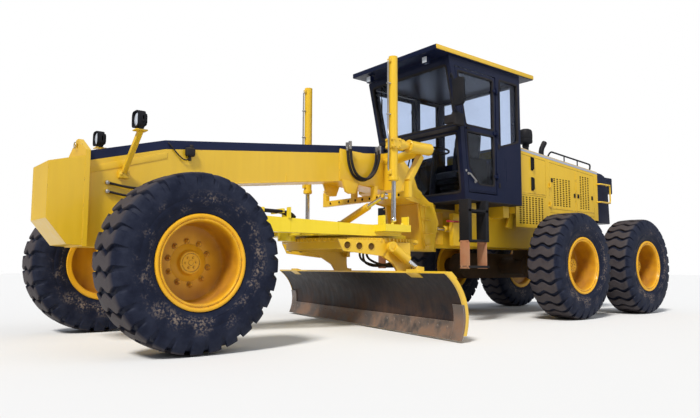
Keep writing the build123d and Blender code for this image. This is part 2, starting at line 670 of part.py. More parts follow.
ARM_SIDE = (
    (230, 919),
    (230, 850),
    (60, 800),
    (-120, 690),
    (-240, 500),
    (-270, 330),
    (-270, 220),
    (-330, 180),
    (-390, 220),
    (-390, 400),
    (-350, 560),
    (-330, 700),
    (-330, 919),
)
with BuildPart() as circle:
    bar((CIRCLE_X, 0, RING_LOW_Z), (CIRCLE_X, 0, RING_TOP_Z), RING_RADIUS)
    bar((CIRCLE_X, 0, SKIRT_LOW_Z), (CIRCLE_X, 0, RING_LOW_Z), SKIRT_RADIUS)
    bar((CIRCLE_X, 0, SKIRT_LOW_Z), (CIRCLE_X, 0, RING_LOW_Z), SKIRT_RADIUS - 25, mode=Mode.SUBTRACT)
    bar((CIRCLE_X, 0, RING_LOW_Z), (CIRCLE_X, 0, RING_TOP_Z), RING_INNER, mode=Mode.SUBTRACT)
    for side in (1, -1):
        low, high = sorted((side * (ARM_U - 5), side * (ARM_U + ARM_THICKNESS)))
        side_plate(ARM_SIDE, low, high, base=BLADE)
        # braces from the skirt to the arm
        low, high = sorted((side * 640, side * ARM_U))
        block((-330, -290), (low, high), (SKIRT_LOW_Z - 60, SKIRT_LOW_Z + 40), base=BLADE)
        pivot = (CARRIER_PIVOT[0], side * ARM_U, CARRIER_PIVOT[1])
        tip = (CARRIER_PIVOT[0], side * (ARM_U + ARM_THICKNESS + 45), CARRIER_PIVOT[1])
        bar(pivot, tip, PIVOT_PIN_RADIUS, base=BLADE)
    # boss that carries the tip cylinder
    boss = ((TIP_TOP[0], ARM_U + ARM_THICKNESS, TIP_TOP[1]), (TIP_TOP[0], TIP_U + 30, TIP_TOP[1]))
    bar(*boss, TIP_PIN_RADIUS, base=BLADE)
save(circle, "circle")


def rail_slot(rail, gap):
    """(depth, height) corners of a rail, grown by a gap."""
    v, z = rail
    return (
        (v - gap, z - gap),
        (v + RAIL_SIZE[0] + 60, z - gap),
        (v + RAIL_SIZE[0] + 60, z + RAIL_SIZE[1] + gap),
        (v - gap, z + RAIL_SIZE[1] + gap),
    )


CARRIER_SIDE = (
    (CARRIER_PIVOT[0] - 50, CARRIER_PIVOT[1] - 40),
    (CARRIER_PIVOT[0], CARRIER_PIVOT[1] - 65),
    (-150, 125),
    (-140, 215),
    (-178, 300),
    (-178, 390),
    (-100, 395),
    (-95, 475),
    (-180, 490),
    (-350, 650),
    (-420, 640),
    (-420, 560),
)
CARRIER_U = (ARM_U + ARM_THICKNESS + 5, ARM_U + ARM_THICKNESS + 40)
with BuildPart() as carrier:
    for side in (1, -1):
        low, high = sorted((side * CARRIER_U[0], side * CARRIER_U[1]))
        side_plate(CARRIER_SIDE, low, high, base=BLADE)
        for rail in RAILS:
            wide = sorted((side * (CARRIER_U[0] + 1), side * (CARRIER_U[1] + 85)))
            block(
                (rail[0] - 34, rail[0] + 34),
                wide,
                (rail[1] - 26, rail[1] + RAIL_SIZE[1] + 26),
                base=BLADE,
            )
        if side == 1:
            # second cheek of the tip cylinder's fork
            cheek = (
                (-420, 570),
                (-380, 480),
                (-100, 395),
                (-95, 475),
                (-180, 490),
                (-350, 670),
                (-420, 660),
            )
            side_plate(cheek, TIP_U + 32, TIP_U + 56, base=BLADE)
            block((-200, -160), (CARRIER_U[1], TIP_U + 56), (400, 485), base=BLADE)
        for rail in RAILS:
            low, high = sorted((side * 700, side * 1000))
            side_plate(rail_slot(rail, PIN_GAP), low, high, mode=Mode.SUBTRACT, base=BLADE)
        hole = [(CARRIER_PIVOT[0], side * u, CARRIER_PIVOT[1]) for u in (ARM_U, ARM_U + 120)]
        bar(*hole, PIVOT_PIN_RADIUS + RUNNING_GAP, mode=Mode.SUBTRACT, base=BLADE)
        hole = [(SIDE_SHIFT[0], side * u, SIDE_SHIFT[1]) for u in (ARM_U, ARM_U + 180)]
        bar(*hole, 34, mode=Mode.SUBTRACT, base=BLADE)
    # side-shift cylinder barrel, held between the two plates
    ends = [(SIDE_SHIFT[0], u, SIDE_SHIFT[1]) for u in (-CARRIER_U[0], 470)]
    bar(*ends, 46, base=BLADE)
    block(
        (SIDE_SHIFT[0] - 40, SIDE_SHIFT[0] + 30),
        (380, CARRIER_U[0] + 2),
        (SIDE_SHIFT[1] - 90, SIDE_SHIFT[1] - 40),
        base=BLADE,
    )
    ends = [(SIDE_SHIFT[0], u, SIDE_SHIFT[1]) for u in (-CARRIER_U[0] + 30, 470)]
    bar(*ends, 22 + RUNNING_GAP, mode=Mode.SUBTRACT, base=BLADE)
save(carrier, "blade_carrier")


def arc_point(radius, z):
    """(depth, height) of a point on the rear of the blade's arc."""
    return (BLADE_ARC[0] - sqrt(radius**2 - (z - BLADE_ARC[1]) ** 2), z)


def curved_strip(front_radius, back_radius, z_low, z_high, u_low, u_high):
    """A strip between two radii of the blade's curve."""
    middle = (z_low + z_high) / 2
    origin = BLADE.from_local_coords(Vector(0, u_high, 0))
    with BuildSketch(Plane(origin=origin, x_dir=BLADE.x_dir, z_dir=-BLADE.y_dir)) as section:
        with BuildLine():
            front = [arc_point(front_radius, z) for z in (z_low, middle, z_high)]
            back = [arc_point(back_radius, z) for z in (z_high, middle, z_low)]
            ThreePointArc(*front)
            Line(front[2], back[0])
            ThreePointArc(*back)
            Line(back[2], front[0])
        make_face()
    extrude(section.sketch, amount=u_high - u_low)


HALF_BLADE = BLADE_LENGTH / 2
BACK_RADIUS = BLADE_RADIUS + BLADE_THICKNESS
BRACKET_U = 1500
with BuildPart() as moldboard:
    curved_strip(BLADE_RADIUS, BACK_RADIUS, 60, BLADE_TOP_Z, -HALF_BLADE, HALF_BLADE)
    curved_strip(BACK_RADIUS - 2, BACK_RADIUS + 22, 560, BLADE_TOP_Z, -HALF_BLADE, HALF_BLADE)
    for u_low, u_high in ((-HALF_BLADE, -HALF_BLADE + 60), (HALF_BLADE - 60, HALF_BLADE)):
        curved_strip(BACK_RADIUS - 2, BACK_RADIUS + 14, 60, BLADE_TOP_Z, u_low, u_high)
    for v, z in RAILS:
        block(
            (v, v + RAIL_SIZE[0] + 12),
            (-HALF_BLADE + 70, HALF_BLADE - 70),
            (z, z + RAIL_SIZE[1]),
            base=BLADE,
        )
    # bracket that the side-shift rod pulls on
    block((SIDE_SHIFT[0] - 40, -120), (BRACKET_U, BRACKET_U + 30), (280, 360), base=BLADE)
save(moldboard, "moldboard")

with BuildPart() as edge:
    gap = BLADE_RADIUS - SEAT_GAP
    curved_strip(gap - 18, gap, BLADE_LOW_Z, 175, -HALF_BLADE + 150, HALF_BLADE - 150)
    for side in (1, -1):
        low, high = sorted((side * (HALF_BLADE - 149), side * HALF_BLADE))
        curved_strip(gap - 18, gap, BLADE_LOW_Z, 330, low, high)
save(edge, "cutting_edge")

with BuildPart() as side_rod:
    ends = [(SIDE_SHIFT[0], u, SIDE_SHIFT[1]) for u in (-220, BRACKET_U)]
    bar(*ends, 22, base=BLADE)
save(side_rod, "side_shift_rod")


# blade tip cylinder, above the left end of the circle's arm
top = (TIP_TOP[0], TIP_U, TIP_TOP[1])
foot = (TIP_FOOT[0], TIP_U, TIP_FOOT[1])
with BuildPart() as tip_barrel:
    bar(toward(top, foot, 25), toward(top, foot, TIP_MOUTH), TIP_BARREL_RADIUS, base=BLADE)
    eye_disc(top, (0, 1, 0), 26, 55, base=BLADE)
    bar(
        toward(top, foot, 60),
        toward(top, foot, TIP_MOUTH),
        28 + RUNNING_GAP,
        mode=Mode.SUBTRACT,
        base=BLADE,
    )
    eye_disc(top, (0, 1, 0), 60, TIP_PIN_RADIUS + RUNNING_GAP, mode=Mode.SUBTRACT, base=BLADE)
save(tip_barrel, "tip_cylinder_barrel")
with BuildPart() as tip_rod:
    bar(toward(top, foot, TIP_ROD_START), foot, 28, base=BLADE)
    eye_disc(foot, (0, 1, 0), 26, 36, base=BLADE)
save(tip_rod, "tip_cylinder_rod")

# lift cylinders
LIFT_TOP_Z = 2930
LIFT_MOUTH_Z = 1575
for side_name, side in SIDES.items():
    y = side * LIFT_Y
    with BuildPart() as lift_barrel:
        bar((LIFT_X, y, LIFT_MOUTH_Z), (LIFT_X, y, LIFT_TOP_Z), 48)
        block((LIFT_X - 56, LIFT_X + 56), (y - 62, y + 62), (LIFT_PIVOT_Z - 55, LIFT_PIVOT_Z + 55))
        bar((LIFT_X - 130, y, LIFT_PIVOT_Z), (LIFT_X - 50, y, LIFT_PIVOT_Z), 62)
        bar(
            (LIFT_X - 140, y, LIFT_PIVOT_Z),
            (SHAFT_TIP_X + 1, y, LIFT_PIVOT_Z),
            SHAFT_RADIUS + RUNNING_GAP,
            mode=Mode.SUBTRACT,
        )
        bar((LIFT_X, y, LIFT_MOUTH_Z), (LIFT_X, y, LIFT_TOP_Z - 30), 25 + RUNNING_GAP, mode=Mode.SUBTRACT)
    save(lift_barrel, f"lift_cylinder_barrel_{side_name}")
    with BuildPart() as lift_rod:
        bar((LIFT_X, y, LIFT_FOOT_Z), (LIFT_X, y, 2540), 25)
        with Locations((LIFT_X, y, LIFT_FOOT_Z)):
            Sphere(LIFT_BALL_RADIUS)
    save(lift_rod, f"lift_cylinder_rod_{side_name}")

# centre-shift cylinder, between the link bar and the drawbar's table
with BuildPart() as shift_rod:
    bar(SHIFT_EYE, toward(SHIFT_EYE, SHIFT_FOOT, 560), 25)
    eye_disc(SHIFT_EYE, (1, 0, 0), 22, 46)
    eye_disc(SHIFT_EYE, (1, 0, 0), 30, SHIFT_PIN_RADIUS + RUNNING_GAP, mode=Mode.SUBTRACT)
save(shift_rod, "centre_shift_rod")
with BuildPart() as shift_barrel:
    bar(toward(SHIFT_EYE, SHIFT_FOOT, 285), SHIFT_FOOT, 42)
    eye_disc(SHIFT_FOOT, (1, 0, 0), 30, 46)
    bar(SHIFT_EYE, toward(SHIFT_EYE, SHIFT_FOOT, 770), 25 + RUNNING_GAP, mode=Mode.SUBTRACT)
save(shift_barrel, "centre_shift_barrel")

# ---- rear frame ---------------------------------------------------------------------------

FOLD_BASE_X = HINGE_X - 620
FOLD_BASE_Y = 200
with BuildPart() as rear_frame:
    for side in (1, -1):
        rail_y = sorted((side * RAIL_INNER_Y, side * REAR_FRAME_HALF))
        block((FRAME_REAR_X, HINGE_X - 100), rail_y, (REAR_FRAME_LOW, REAR_FRAME_TOP))
        # cab and hood mounts on top of the rail
        for x in (HINGE_X - 330, CAB_REAR_X + 60):
            block(
                (x, x + 120),
                sorted((side * RAIL_INNER_Y, side * 560)),
                (REAR_FRAME_TOP - 30, CAB_FLOOR_Z - 10),
            )
        for x in (AXLE_X - 5200, AXLE_X - 6700):
            block(
                (x - 60, x + 60),
                sorted((side * RAIL_INNER_Y, side * 400)),
                (REAR_FRAME_TOP, REAR_FRAME_TOP + 20),
            )
    for z in (HINGE_TOP_Z, HINGE_LOW_Z):
        block((HINGE_X - 260, HINGE_X), (-85, 85), (z - HINGE_EAR / 2, z + HINGE_EAR / 2))
        bar((HINGE_X, 0, z - HINGE_EAR / 2), (HINGE_X, 0, z + HINGE_EAR / 2), HINGE_EYE_RADIUS)
        ends = ((HINGE_X, 0, z - HINGE_EAR), (HINGE_X, 0, z + HINGE_EAR))
        bar(*ends, HINGE_PIN_RADIUS + RUNNING_GAP, mode=Mode.SUBTRACT)
    low, high = HINGE_LOW_Z - HINGE_EAR / 2, HINGE_TOP_Z + HINGE_EAR / 2
    block((HINGE_X - 800, HINGE_X - 200), (-85, 85), (low, high))
    for x in (FOLD_BASE_X - 150, AXLE_X - 6900):
        block((x, x + 80), (-RAIL_INNER_Y - 5, RAIL_INNER_Y + 5), (REAR_FRAME_LOW, REAR_FRAME_TOP))
    block(
        (FRAME_REAR_X, FRAME_REAR_X + 60),
        (-REAR_FRAME_HALF, REAR_FRAME_HALF),
        (REAR_FRAME_LOW - 60, REAR_FRAME_TOP),
    )
    # pintle plates of the tow hitch and their pin hole
    for z in (HITCH_Z - 75, HITCH_Z + 45):
        block((HITCH_X - 60, FRAME_REAR_X), (-90, 90), (z, z + 30))
    bar((HITCH_X, 0, HITCH_Z - 80), (HITCH_X, 0, HITCH_Z + 80), HITCH_HOLE_RADIUS, mode=Mode.SUBTRACT)
    for side in (1, -1):
        for z in (FOLD_Z - 64, FOLD_Z + 44):
            low, high = sorted((side * (FOLD_BASE_Y - 40), side * (FOLD_BASE_Y + 40)))
            block((FOLD_BASE_X - 80, FOLD_BASE_X + 20), (low, high), (z, z + 20))
        ends = [(FOLD_BASE_X, side * FOLD_BASE_Y, FOLD_Z + dz) for dz in (-64, 64)]
        bar(*ends, FOLD_PIN_RADIUS)
save(rear_frame, "rear_frame")

for side_name, side in SIDES.items():
    base_point = (FOLD_BASE_X, side * FOLD_BASE_Y, FOLD_Z)
    eye = (FOLD_EYE_X, side * FOLD_EYE_Y, FOLD_Z)
    with BuildPart() as fold_barrel:
        bar(base_point, toward(base_point, eye, 530), 40)
        eye_disc(base_point, (0, 0, 1), 28, 42)
        bar(
            toward(base_point, eye, 60),
            toward(base_point, eye, 530),
            22 + RUNNING_GAP,
            mode=Mode.SUBTRACT,
        )
        eye_disc(base_point, (0, 0, 1), 60, FOLD_PIN_RADIUS + RUNNING_GAP, mode=Mode.SUBTRACT)
    save(fold_barrel, f"articulation_barrel_{side_name}")
    with BuildPart() as fold_rod:
        bar(toward(base_point, eye, 200), eye, 22)
        eye_disc(eye, (0, 0, 1), 28, 40)
    save(fold_rod, f"articulation_rod_{side_name}")

with BuildPart() as rear_axle:
    bar((TANDEM_X, -640, HUB_Z), (TANDEM_X, 640, HUB_Z), 130)
    with Locations((TANDEM_X, 0, HUB_Z)):
        Sphere(235)
    block(
        (TANDEM_X - 110, TANDEM_X + 110),
        (-REAR_FRAME_HALF, REAR_FRAME_HALF),
        (HUB_Z + 100, REAR_FRAME_LOW),
    )
    for side in (1, -1):
        low, high = sorted((side * 610, side * 820))
        block((REAR_X, MIDDLE_X), (low, high), (HUB_Z - 190, HUB_Z + 190))
        for x in (MIDDLE_X, REAR_X):
            bar((x, low, HUB_Z), (x, high, HUB_Z), 190)
            bar((x, side * 820, HUB_Z), (x, side * 980, HUB_Z), 120)
            bar((x, side * 980, HUB_Z), (x, side * (WHEEL_Y + 10), HUB_Z), SPINDLE_RADIUS)
save(rear_axle, "rear_axle")

# ---- cab ----------------------------------------------------------------------------------

CAB_SIDE = (
    (CAB_FRONT_LOW_X, CAB_FLOOR_Z),
    CAB_KNEE,
    (CAB_FRONT_TOP_X, CAB_TOP_Z),
    (CAB_REAR_X, CAB_TOP_Z),
    (CAB_REAR_X, CAB_FLOOR_Z),
)
CAB_INSIDE = (
    (CAB_FRONT_LOW_X - CAB_WALL, CAB_FLOOR_Z + CAB_WALL),
    (CAB_KNEE[0] - CAB_WALL, CAB_KNEE[1]),
    (CAB_FRONT_TOP_X - CAB_WALL, CAB_TOP_Z - CAB_WALL),
    (CAB_REAR_X + CAB_WALL, CAB_TOP_Z - CAB_WALL),
    (CAB_REAR_X + CAB_WALL, CAB_FLOOR_Z + CAB_WALL),
)


def pillar_x(z):
    """Front face of the cab at a height."""
    if z < CAB_KNEE[1]:
        share = (z - CAB_FLOOR_Z) / (CAB_KNEE[1] - CAB_FLOOR_Z)
        return CAB_FRONT_LOW_X + share * (CAB_KNEE[0] - CAB_FRONT_LOW_X)
    share = (z - CAB_KNEE[1]) / (CAB_TOP_Z - CAB_KNEE[1])
    return CAB_KNEE[0] + share * (CAB_FRONT_TOP_X - CAB_KNEE[0])


DOOR_LOW_Z = 1560
DOOR_TOP_Z = 3085
POST = 75  # width of a cab post
DOOR_REAR_X = CAB_B_X


def door_outline(inset):
    """(x, z) corners of the door, shrunk by an inset."""
    low, high = DOOR_LOW_Z + inset, DOOR_TOP_Z - inset
    return (
        (pillar_x(low) - POST - inset, low),
        (pillar_x(CAB_KNEE[1]) - POST - inset, CAB_KNEE[1]),
        (pillar_x(high) - POST - inset, high),
        (DOOR_REAR_X + inset, high),
        (DOOR_REAR_X + inset, low),
    )


QUARTER = (
    (DOOR_REAR_X - POST, 2190),
    (DOOR_REAR_X - POST, 3070),
    (CAB_REAR_X + 55, 3070),
    (CAB_REAR_X + 55, 2300),
)
REAR_WINDOW = ((-600, 2150), (600, 2150), (600, 3060), (-600, 3060))
SCREEN_HALF = 660
CAB_HINGES = (1800, 2350, 2900)
with BuildPart() as cab:
    side_plate(CAB_SIDE, -CAB_HALF, CAB_HALF)
    side_plate(CAB_INSIDE, -CAB_HALF + CAB_WALL, CAB_HALF - CAB_WALL, mode=Mode.SUBTRACT)
    side_plate(door_outline(0), -900, 900, mode=Mode.SUBTRACT)
    side_plate(QUARTER, -900, 900, mode=Mode.SUBTRACT)
    front_plate(REAR_WINDOW, CAB_REAR_X - 20, CAB_REAR_X + 80, mode=Mode.SUBTRACT)
    for low, high in ((1560, 2285), (2385, 3090)):
        block(
            (CAB_FRONT_LOW_X - 60, CAB_FRONT_TOP_X + 50),
            (-SCREEN_HALF, SCREEN_HALF),
            (low, high),
            mode=Mode.SUBTRACT,
        )
    for side in (1, -1):
        hinge_pins(DOOR_REAR_X, side * CAB_HALF, CAB_HINGES, -34)
save(cab, "cab_shell")

with BuildPart() as roof:
    block((ROOF_REAR_X, ROOF_FRONT_X), (-ROOF_HALF, ROOF_HALF), (ROOF_Z, ROOF_Z + ROOF_THICKNESS))
    block((CAB_REAR_X, CAB_FRONT_TOP_X), (-CAB_HALF, CAB_HALF), (CAB_TOP_Z, ROOF_Z))
save(roof, "cab_roof")

DOOR_WINDOWS = (
    ((-3560, 2420), (-3470, 2980), (-4215, 2980), (-4215, 2420)),
    ((-3700, 2300), (-3735, 1850), (-3900, 1640), (-4215, 1640), (-4215, 2300)),
)
for side_name, side in SIDES.items():
    with BuildPart() as door:
        low, high = sorted((side * (CAB_HALF - 38), side * (CAB_HALF - 3)))
        side_plate(door_outline(SWING_GAP), low, high)
        for window in DOOR_WINDOWS:
            corners = [(AXLE_X + x - (90 if x > -4000 else 0), z) for x, z in window]
            side_plate(corners, -900, 900, mode=Mode.SUBTRACT)
        hinge_leaves(DOOR_REAR_X, side * CAB_HALF, CAB_HINGES, 46, 3)
    save(door, f"cab_door_{side_name}")

PANE = 6
with BuildPart() as glass:
    side_plate(
        (
            (pillar_x(1560) - 20, 1562),
            (pillar_x(2283) - 20, 2283),
            (pillar_x(2283) - 20 - PANE, 2283),
            (pillar_x(1560) - 20 - PANE, 1562),
        ),
        -SCREEN_HALF,
        SCREEN_HALF,
    )
    side_plate(
        (
            (pillar_x(2387) - 20, 2387),
            (pillar_x(3088) - 20, 3088),
            (pillar_x(3088) - 20 - PANE, 3088),
            (pillar_x(2387) - 20 - PANE, 2387),
        ),
        -SCREEN_HALF,
        SCREEN_HALF,
    )
    front_plate(REAR_WINDOW, CAB_REAR_X + 20, CAB_REAR_X + 20 + PANE)
    for side in (1, -1):
        side_plate(QUARTER, *sorted((side * 700, side * (700 + PANE))))
save(glass, "cab_glass")

FLOOR_Z = CAB_FLOOR_Z + CAB_WALL
SEAT_X = AXLE_X - 4330
with BuildPart() as interior:
    # seat pedestal, cushion and backrest
    block((SEAT_X - 150, SEAT_X + 150), (-170, 170), (FLOOR_Z, FLOOR_Z + 300))
    block((SEAT_X - 250, SEAT_X + 250), (-240, 240), (FLOOR_Z + 300, FLOOR_Z + 440))
    side_plate(
        (
            (SEAT_X - 250, FLOOR_Z + 400),
            (SEAT_X - 130, FLOOR_Z + 440),
            (SEAT_X - 230, FLOOR_Z + 1050),
            (SEAT_X - 330, FLOOR_Z + 1050),
        ),
        -230,
        230,
    )
    # steering column and wheel
    block((AXLE_X - 3930, AXLE_X - 3790), (-70, 70), (FLOOR_Z, FLOOR_Z + 14))
    column = (AXLE_X - 3860, 0, FLOOR_Z + 8)
    hub = (AXLE_X - 3930, 0, FLOOR_Z + 700)
    bar(column, hub, 45)
    bar(toward(hub, column, 12), toward(hub, column, -12), 200)
    for side in (1, -1):
        block((SEAT_X - 150, SEAT_X + 330), sorted((side * 300, side * 420)), (FLOOR_Z, FLOOR_Z + 600))
save(interior, "cab_interior")

with BuildPart() as fittings:
    for side in (1, -1):
        # ladder
        for x in (AXLE_X - 3690, AXLE_X - 4010):
            block((x, x + 60), sorted((side * 650, side * 800)), (640, CAB_FLOOR_Z))
        for z in (650, 960, 1320):
            block((AXLE_X - 4010, AXLE_X - 3630), sorted((side * 650, side * 800)), (z, z + 30))
    # mirror on the left side
    block((AXLE_X - 3375, AXLE_X - 3335), (830, 990), (2530, 2860))
    for foot_x, foot_z, head_z in ((AXLE_X - 3500, 2900, 2840), (AXLE_X - 3590, 2520, 2555)):
        block((foot_x - 16, foot_x + 16), (CAB_HALF, CAB_HALF + 14), (foot_z - 20, foot_z + 20))
        bar((foot_x, CAB_HALF + 8, foot_z), (AXLE_X - 3355, 850, head_z), 8)
save(fittings, "cab_steps_and_mirrors")

# ---- engine and hood ----------------------------------------------------------------------

HOOD_SIDE = (
    (HOOD_FRONT_X, HOOD_LOW_Z),
    (HOOD_FRONT_X, HOOD_FRONT_TOP_Z),
    (HOOD_REAR_X, HOOD_REAR_TOP_Z),
    (HOOD_REAR_X, HOOD_SIDE_LOW_Z),
    (AXLE_X - 5600, HOOD_SIDE_LOW_Z),
    (AXLE_X - 5500, HOOD_LOW_Z),
)
HOOD_INSIDE = (
    (HOOD_FRONT_X - HOOD_WALL, HOOD_LOW_Z - 20),
    (HOOD_FRONT_X - HOOD_WALL, HOOD_FRONT_TOP_Z - HOOD_WALL),
    (HOOD_REAR_X - 20, HOOD_REAR_TOP_Z - HOOD_WALL),
    (HOOD_REAR_X - 20, HOOD_LOW_Z - 20),
)
ENGINE_DOORS = {
    "front": (AXLE_X - 4900, AXLE_X - 5550, 1640),
    "rear": (AXLE_X - 5640, AXLE_X - 6840, 1430),
}


def hood_top(x):
    """Height of the hood's sloping top."""
    share = (x - HOOD_FRONT_X) / (HOOD_REAR_X - HOOD_FRONT_X)
    return HOOD_FRONT_TOP_Z + share * (HOOD_REAR_TOP_Z - HOOD_FRONT_TOP_Z)


def door_side(front_x, rear_x, low, inset):
    """(x, z) corners of an engine door, shrunk by an inset."""
    return (
        (front_x - inset, low + inset),
        (front_x - inset, hood_top(front_x) - 90 - inset),
        (rear_x + inset, hood_top(rear_x) - 90 - inset),
        (rear_x + inset, low + inset),
    )


with BuildPart() as hood:
    side_plate(HOOD_SIDE, -HOOD_HALF, HOOD_HALF)
    side_plate(HOOD_INSIDE, -HOOD_HALF + HOOD_WALL, HOOD_HALF - HOOD_WALL, mode=Mode.SUBTRACT)
    for front_x, rear_x, low in ENGINE_DOORS.values():
        side_plate(door_side(front_x, rear_x, low, 0), -900, 900, mode=Mode.SUBTRACT)
    # passage for the frame rails under the front wall
    low_wall = (HOOD_LOW_Z - 10, REAR_FRAME_TOP + 25)
    block((HOOD_FRONT_X - 30, HOOD_FRONT_X + 10), (-540, 540), low_wall, mode=Mode.SUBTRACT)
    for side in (1, -1):
        for front_x, rear_x, low in ENGINE_DOORS.values():
            hinge_pins(front_x, side * HOOD_HALF, (low + 130, low + 400), 34)
save(hood, "hood")

for side_name, side in SIDES.items():
    for row, (front_x, rear_x, low_z) in ENGINE_DOORS.items():
        with BuildPart() as engine_door:
            low, high = sorted((side * (HOOD_HALF - HOOD_WALL), side * HOOD_HALF))
            side_plate(door_side(front_x, rear_x, low_z, SWING_GAP / 2), low, high)
            hinge_leaves(front_x, side * HOOD_HALF, (low_z + 130, low_z + 400), -46, 0)
        save(engine_door, f"engine_door_{row}_{side_name}")

with BuildPart() as engine:
    block((AXLE_X - 6600, AXLE_X - 5100), (-380, 380), (REAR_FRAME_TOP + 20, 2080))
save(engine, "engine")

with BuildPart() as tail:
    side_plate(
        (
            (HOOD_REAR_X, TAIL_LOW_Z),
            (HOOD_REAR_X, 2130),
            (AXLE_X - 7150, 2120),
            (AXLE_X - 7270, 2040),
            (TAIL_REAR_X, TAIL_LOW_Z),
        ),
        -HOOD_HALF + 10,
        HOOD_HALF - 10,
    )
    for side in (1, -1):
        block((AXLE_X - 7440, AXLE_X - 7230), sorted((side * 380, side * 585)), (1830, 2090))
save(tail, "tail_shroud")

INTAKE_X = AXLE_X - 5960
EXHAUST_X = AXLE_X - 6370
with BuildPart() as stacks:
    bar((INTAKE_X, 0, hood_top(INTAKE_X + 45)), (INTAKE_X, 0, 2600), 45)
    bar((INTAKE_X, 0, 2540), (INTAKE_X, 0, 2780), 105)
    bar((EXHAUST_X, 0, hood_top(EXHAUST_X + 42)), (EXHAUST_X, 0, 2510), 42)
    bar((EXHAUST_X, 0, 2510), (EXHAUST_X - 95, 0, 2630), 42)
save(stacks, "engine_stacks")
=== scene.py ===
import json
from math import atan2, cos, hypot, pi, radians, sin, sqrt
from random import Random

import bmesh
import bpy
from mathutils import Matrix, Vector


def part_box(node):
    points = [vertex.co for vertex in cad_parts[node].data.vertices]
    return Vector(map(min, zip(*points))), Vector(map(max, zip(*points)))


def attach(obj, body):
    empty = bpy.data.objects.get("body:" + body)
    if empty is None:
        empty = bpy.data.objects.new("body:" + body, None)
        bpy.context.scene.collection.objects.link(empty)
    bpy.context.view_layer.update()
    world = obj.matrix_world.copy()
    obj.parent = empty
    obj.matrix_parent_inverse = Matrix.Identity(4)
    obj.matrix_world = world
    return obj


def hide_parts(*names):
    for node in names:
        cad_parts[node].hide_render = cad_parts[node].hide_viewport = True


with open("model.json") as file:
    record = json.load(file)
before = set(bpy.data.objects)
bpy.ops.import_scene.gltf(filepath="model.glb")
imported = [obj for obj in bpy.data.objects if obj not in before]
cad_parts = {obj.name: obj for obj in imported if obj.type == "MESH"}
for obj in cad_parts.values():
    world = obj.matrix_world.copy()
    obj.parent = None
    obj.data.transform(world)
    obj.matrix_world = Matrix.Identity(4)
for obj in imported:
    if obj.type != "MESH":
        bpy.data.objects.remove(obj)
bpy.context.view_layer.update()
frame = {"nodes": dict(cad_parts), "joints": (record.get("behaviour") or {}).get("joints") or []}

# Motor grader: camera, finishes and every detailed piece, in metres.
# +X is forward, +Y the driver's left, +Z up.

nodes = frame["nodes"]
joints = {joint["name"]: joint for joint in frame["joints"]}
scene = bpy.context.scene
scene.view_settings.view_transform = "Standard"


def pivotOf(joint):
    return Vector(joints[joint]["pos_m"])


axleX = pivotOf("wheel_lean").x
circleMiddle = pivotOf("circle_turn")
upward = Vector((0, 0, 1))
bladeLeft = Vector(joints["blade_tip"]["axis"])
bladeForward = Vector((bladeLeft.y, -bladeLeft.x, 0))
sides = {"left": 1, "right": -1}


def spot(x, y, z):
    # A point measured forward from the front axle.
    return Vector((axleX + x, y, z))


def shifted(outline):
    return [(axleX + x, z) for x, z in outline]


def spots(points):
    return [spot(*point) for point in points]


# Mesh helpers.


def fromAxes(origin, along, across, up):
    # A matrix that puts local x, y, z on three directions.
    columns = Matrix((along, across, up)).transposed().to_4x4()
    return Matrix.Translation(origin) @ columns


bladeFrame = fromAxes(Vector((circleMiddle.x, 0, 0)), bladeForward, bladeLeft, upward)


def bladePoint(v, u, z):
    return bladeFrame @ Vector((v, u, z))


def addBox(mesh, low, high, bevel=0.0, turn=None):
    low, high = Vector(map(min, low, high)), Vector(map(max, low, high))
    made = bmesh.ops.create_cube(mesh, size=1.0)["verts"]
    size, middle = high - low, (high + low) / 2
    for vert in made:
        vert.co = Vector((vert.co.x * size.x, vert.co.y * size.y, vert.co.z * size.z)) + middle
    if bevel:
        edges = list({edge for vert in made for edge in vert.link_edges})
        beveled = bmesh.ops.bevel(mesh, geom=edges, offset=bevel, segments=2, affect="EDGES", profile=0.6)
        made = beveled["verts"]
    if turn:
        bmesh.ops.transform(mesh, matrix=turn, verts=list(set(made)))
    return made


def addBlock(mesh, at, low, high, bevel=0.0):
    # A box between two offsets from a point.
    return addBox(mesh, at + Vector(low), at + Vector(high), bevel)


def axisFrame(origin, direction):
    # Local z along a direction.
    up = Vector(direction).normalized()
    side = up.orthogonal().normalized()
    return fromAxes(origin, side, up.cross(side), up)


def addLathe(mesh, profile, place, count=32, closed=False, spin=0.0):
    # Turns (radius, height) points about the local z of place.
    rings = []
    for radius, height in profile:
        if radius < 1e-6:
            rings.append([mesh.verts.new(place @ Vector((0, 0, height)))])
            continue
        ring = []
        for step in range(count):
            angle = 2 * pi * (step + spin) / count
            ring.append(mesh.verts.new(place @ Vector((radius * cos(angle), radius * sin(angle), height))))
        rings.append(ring)
    pairs = list(zip(rings, rings[1:]))
    if closed:
        pairs.append((rings[-1], rings[0]))
    for first, second in pairs:
        for step in range(count):
            after = (step + 1) % count
            if len(first) == 1 and len(second) == 1:
                continue
            if len(first) == 1:
                mesh.faces.new((first[0], second[step], second[after]))
            elif len(second) == 1:
                mesh.faces.new((first[step], second[0], first[after]))
            else:
                mesh.faces.new((first[step], second[step], second[after], first[after]))
    return rings


def addRod(mesh, start, end, radius, count=24, chamfer=0.003, endRadius=None):
    start, end = Vector(start), Vector(end)
    length = (end - start).length
    far = radius if endRadius is None else endRadius
    profile = [
        (0, 0), (radius - chamfer, 0), (radius, chamfer), (far, length - chamfer), (far - chamfer, length), (0, length)
    ]
    addLathe(mesh, profile, axisFrame(start, end - start), count)


def addPin(mesh, at, start, end, radius, count=24, chamfer=0.003):
    # A rod between two offsets from a point.
    addRod(mesh, at + Vector(start), at + Vector(end), radius, count, chamfer)


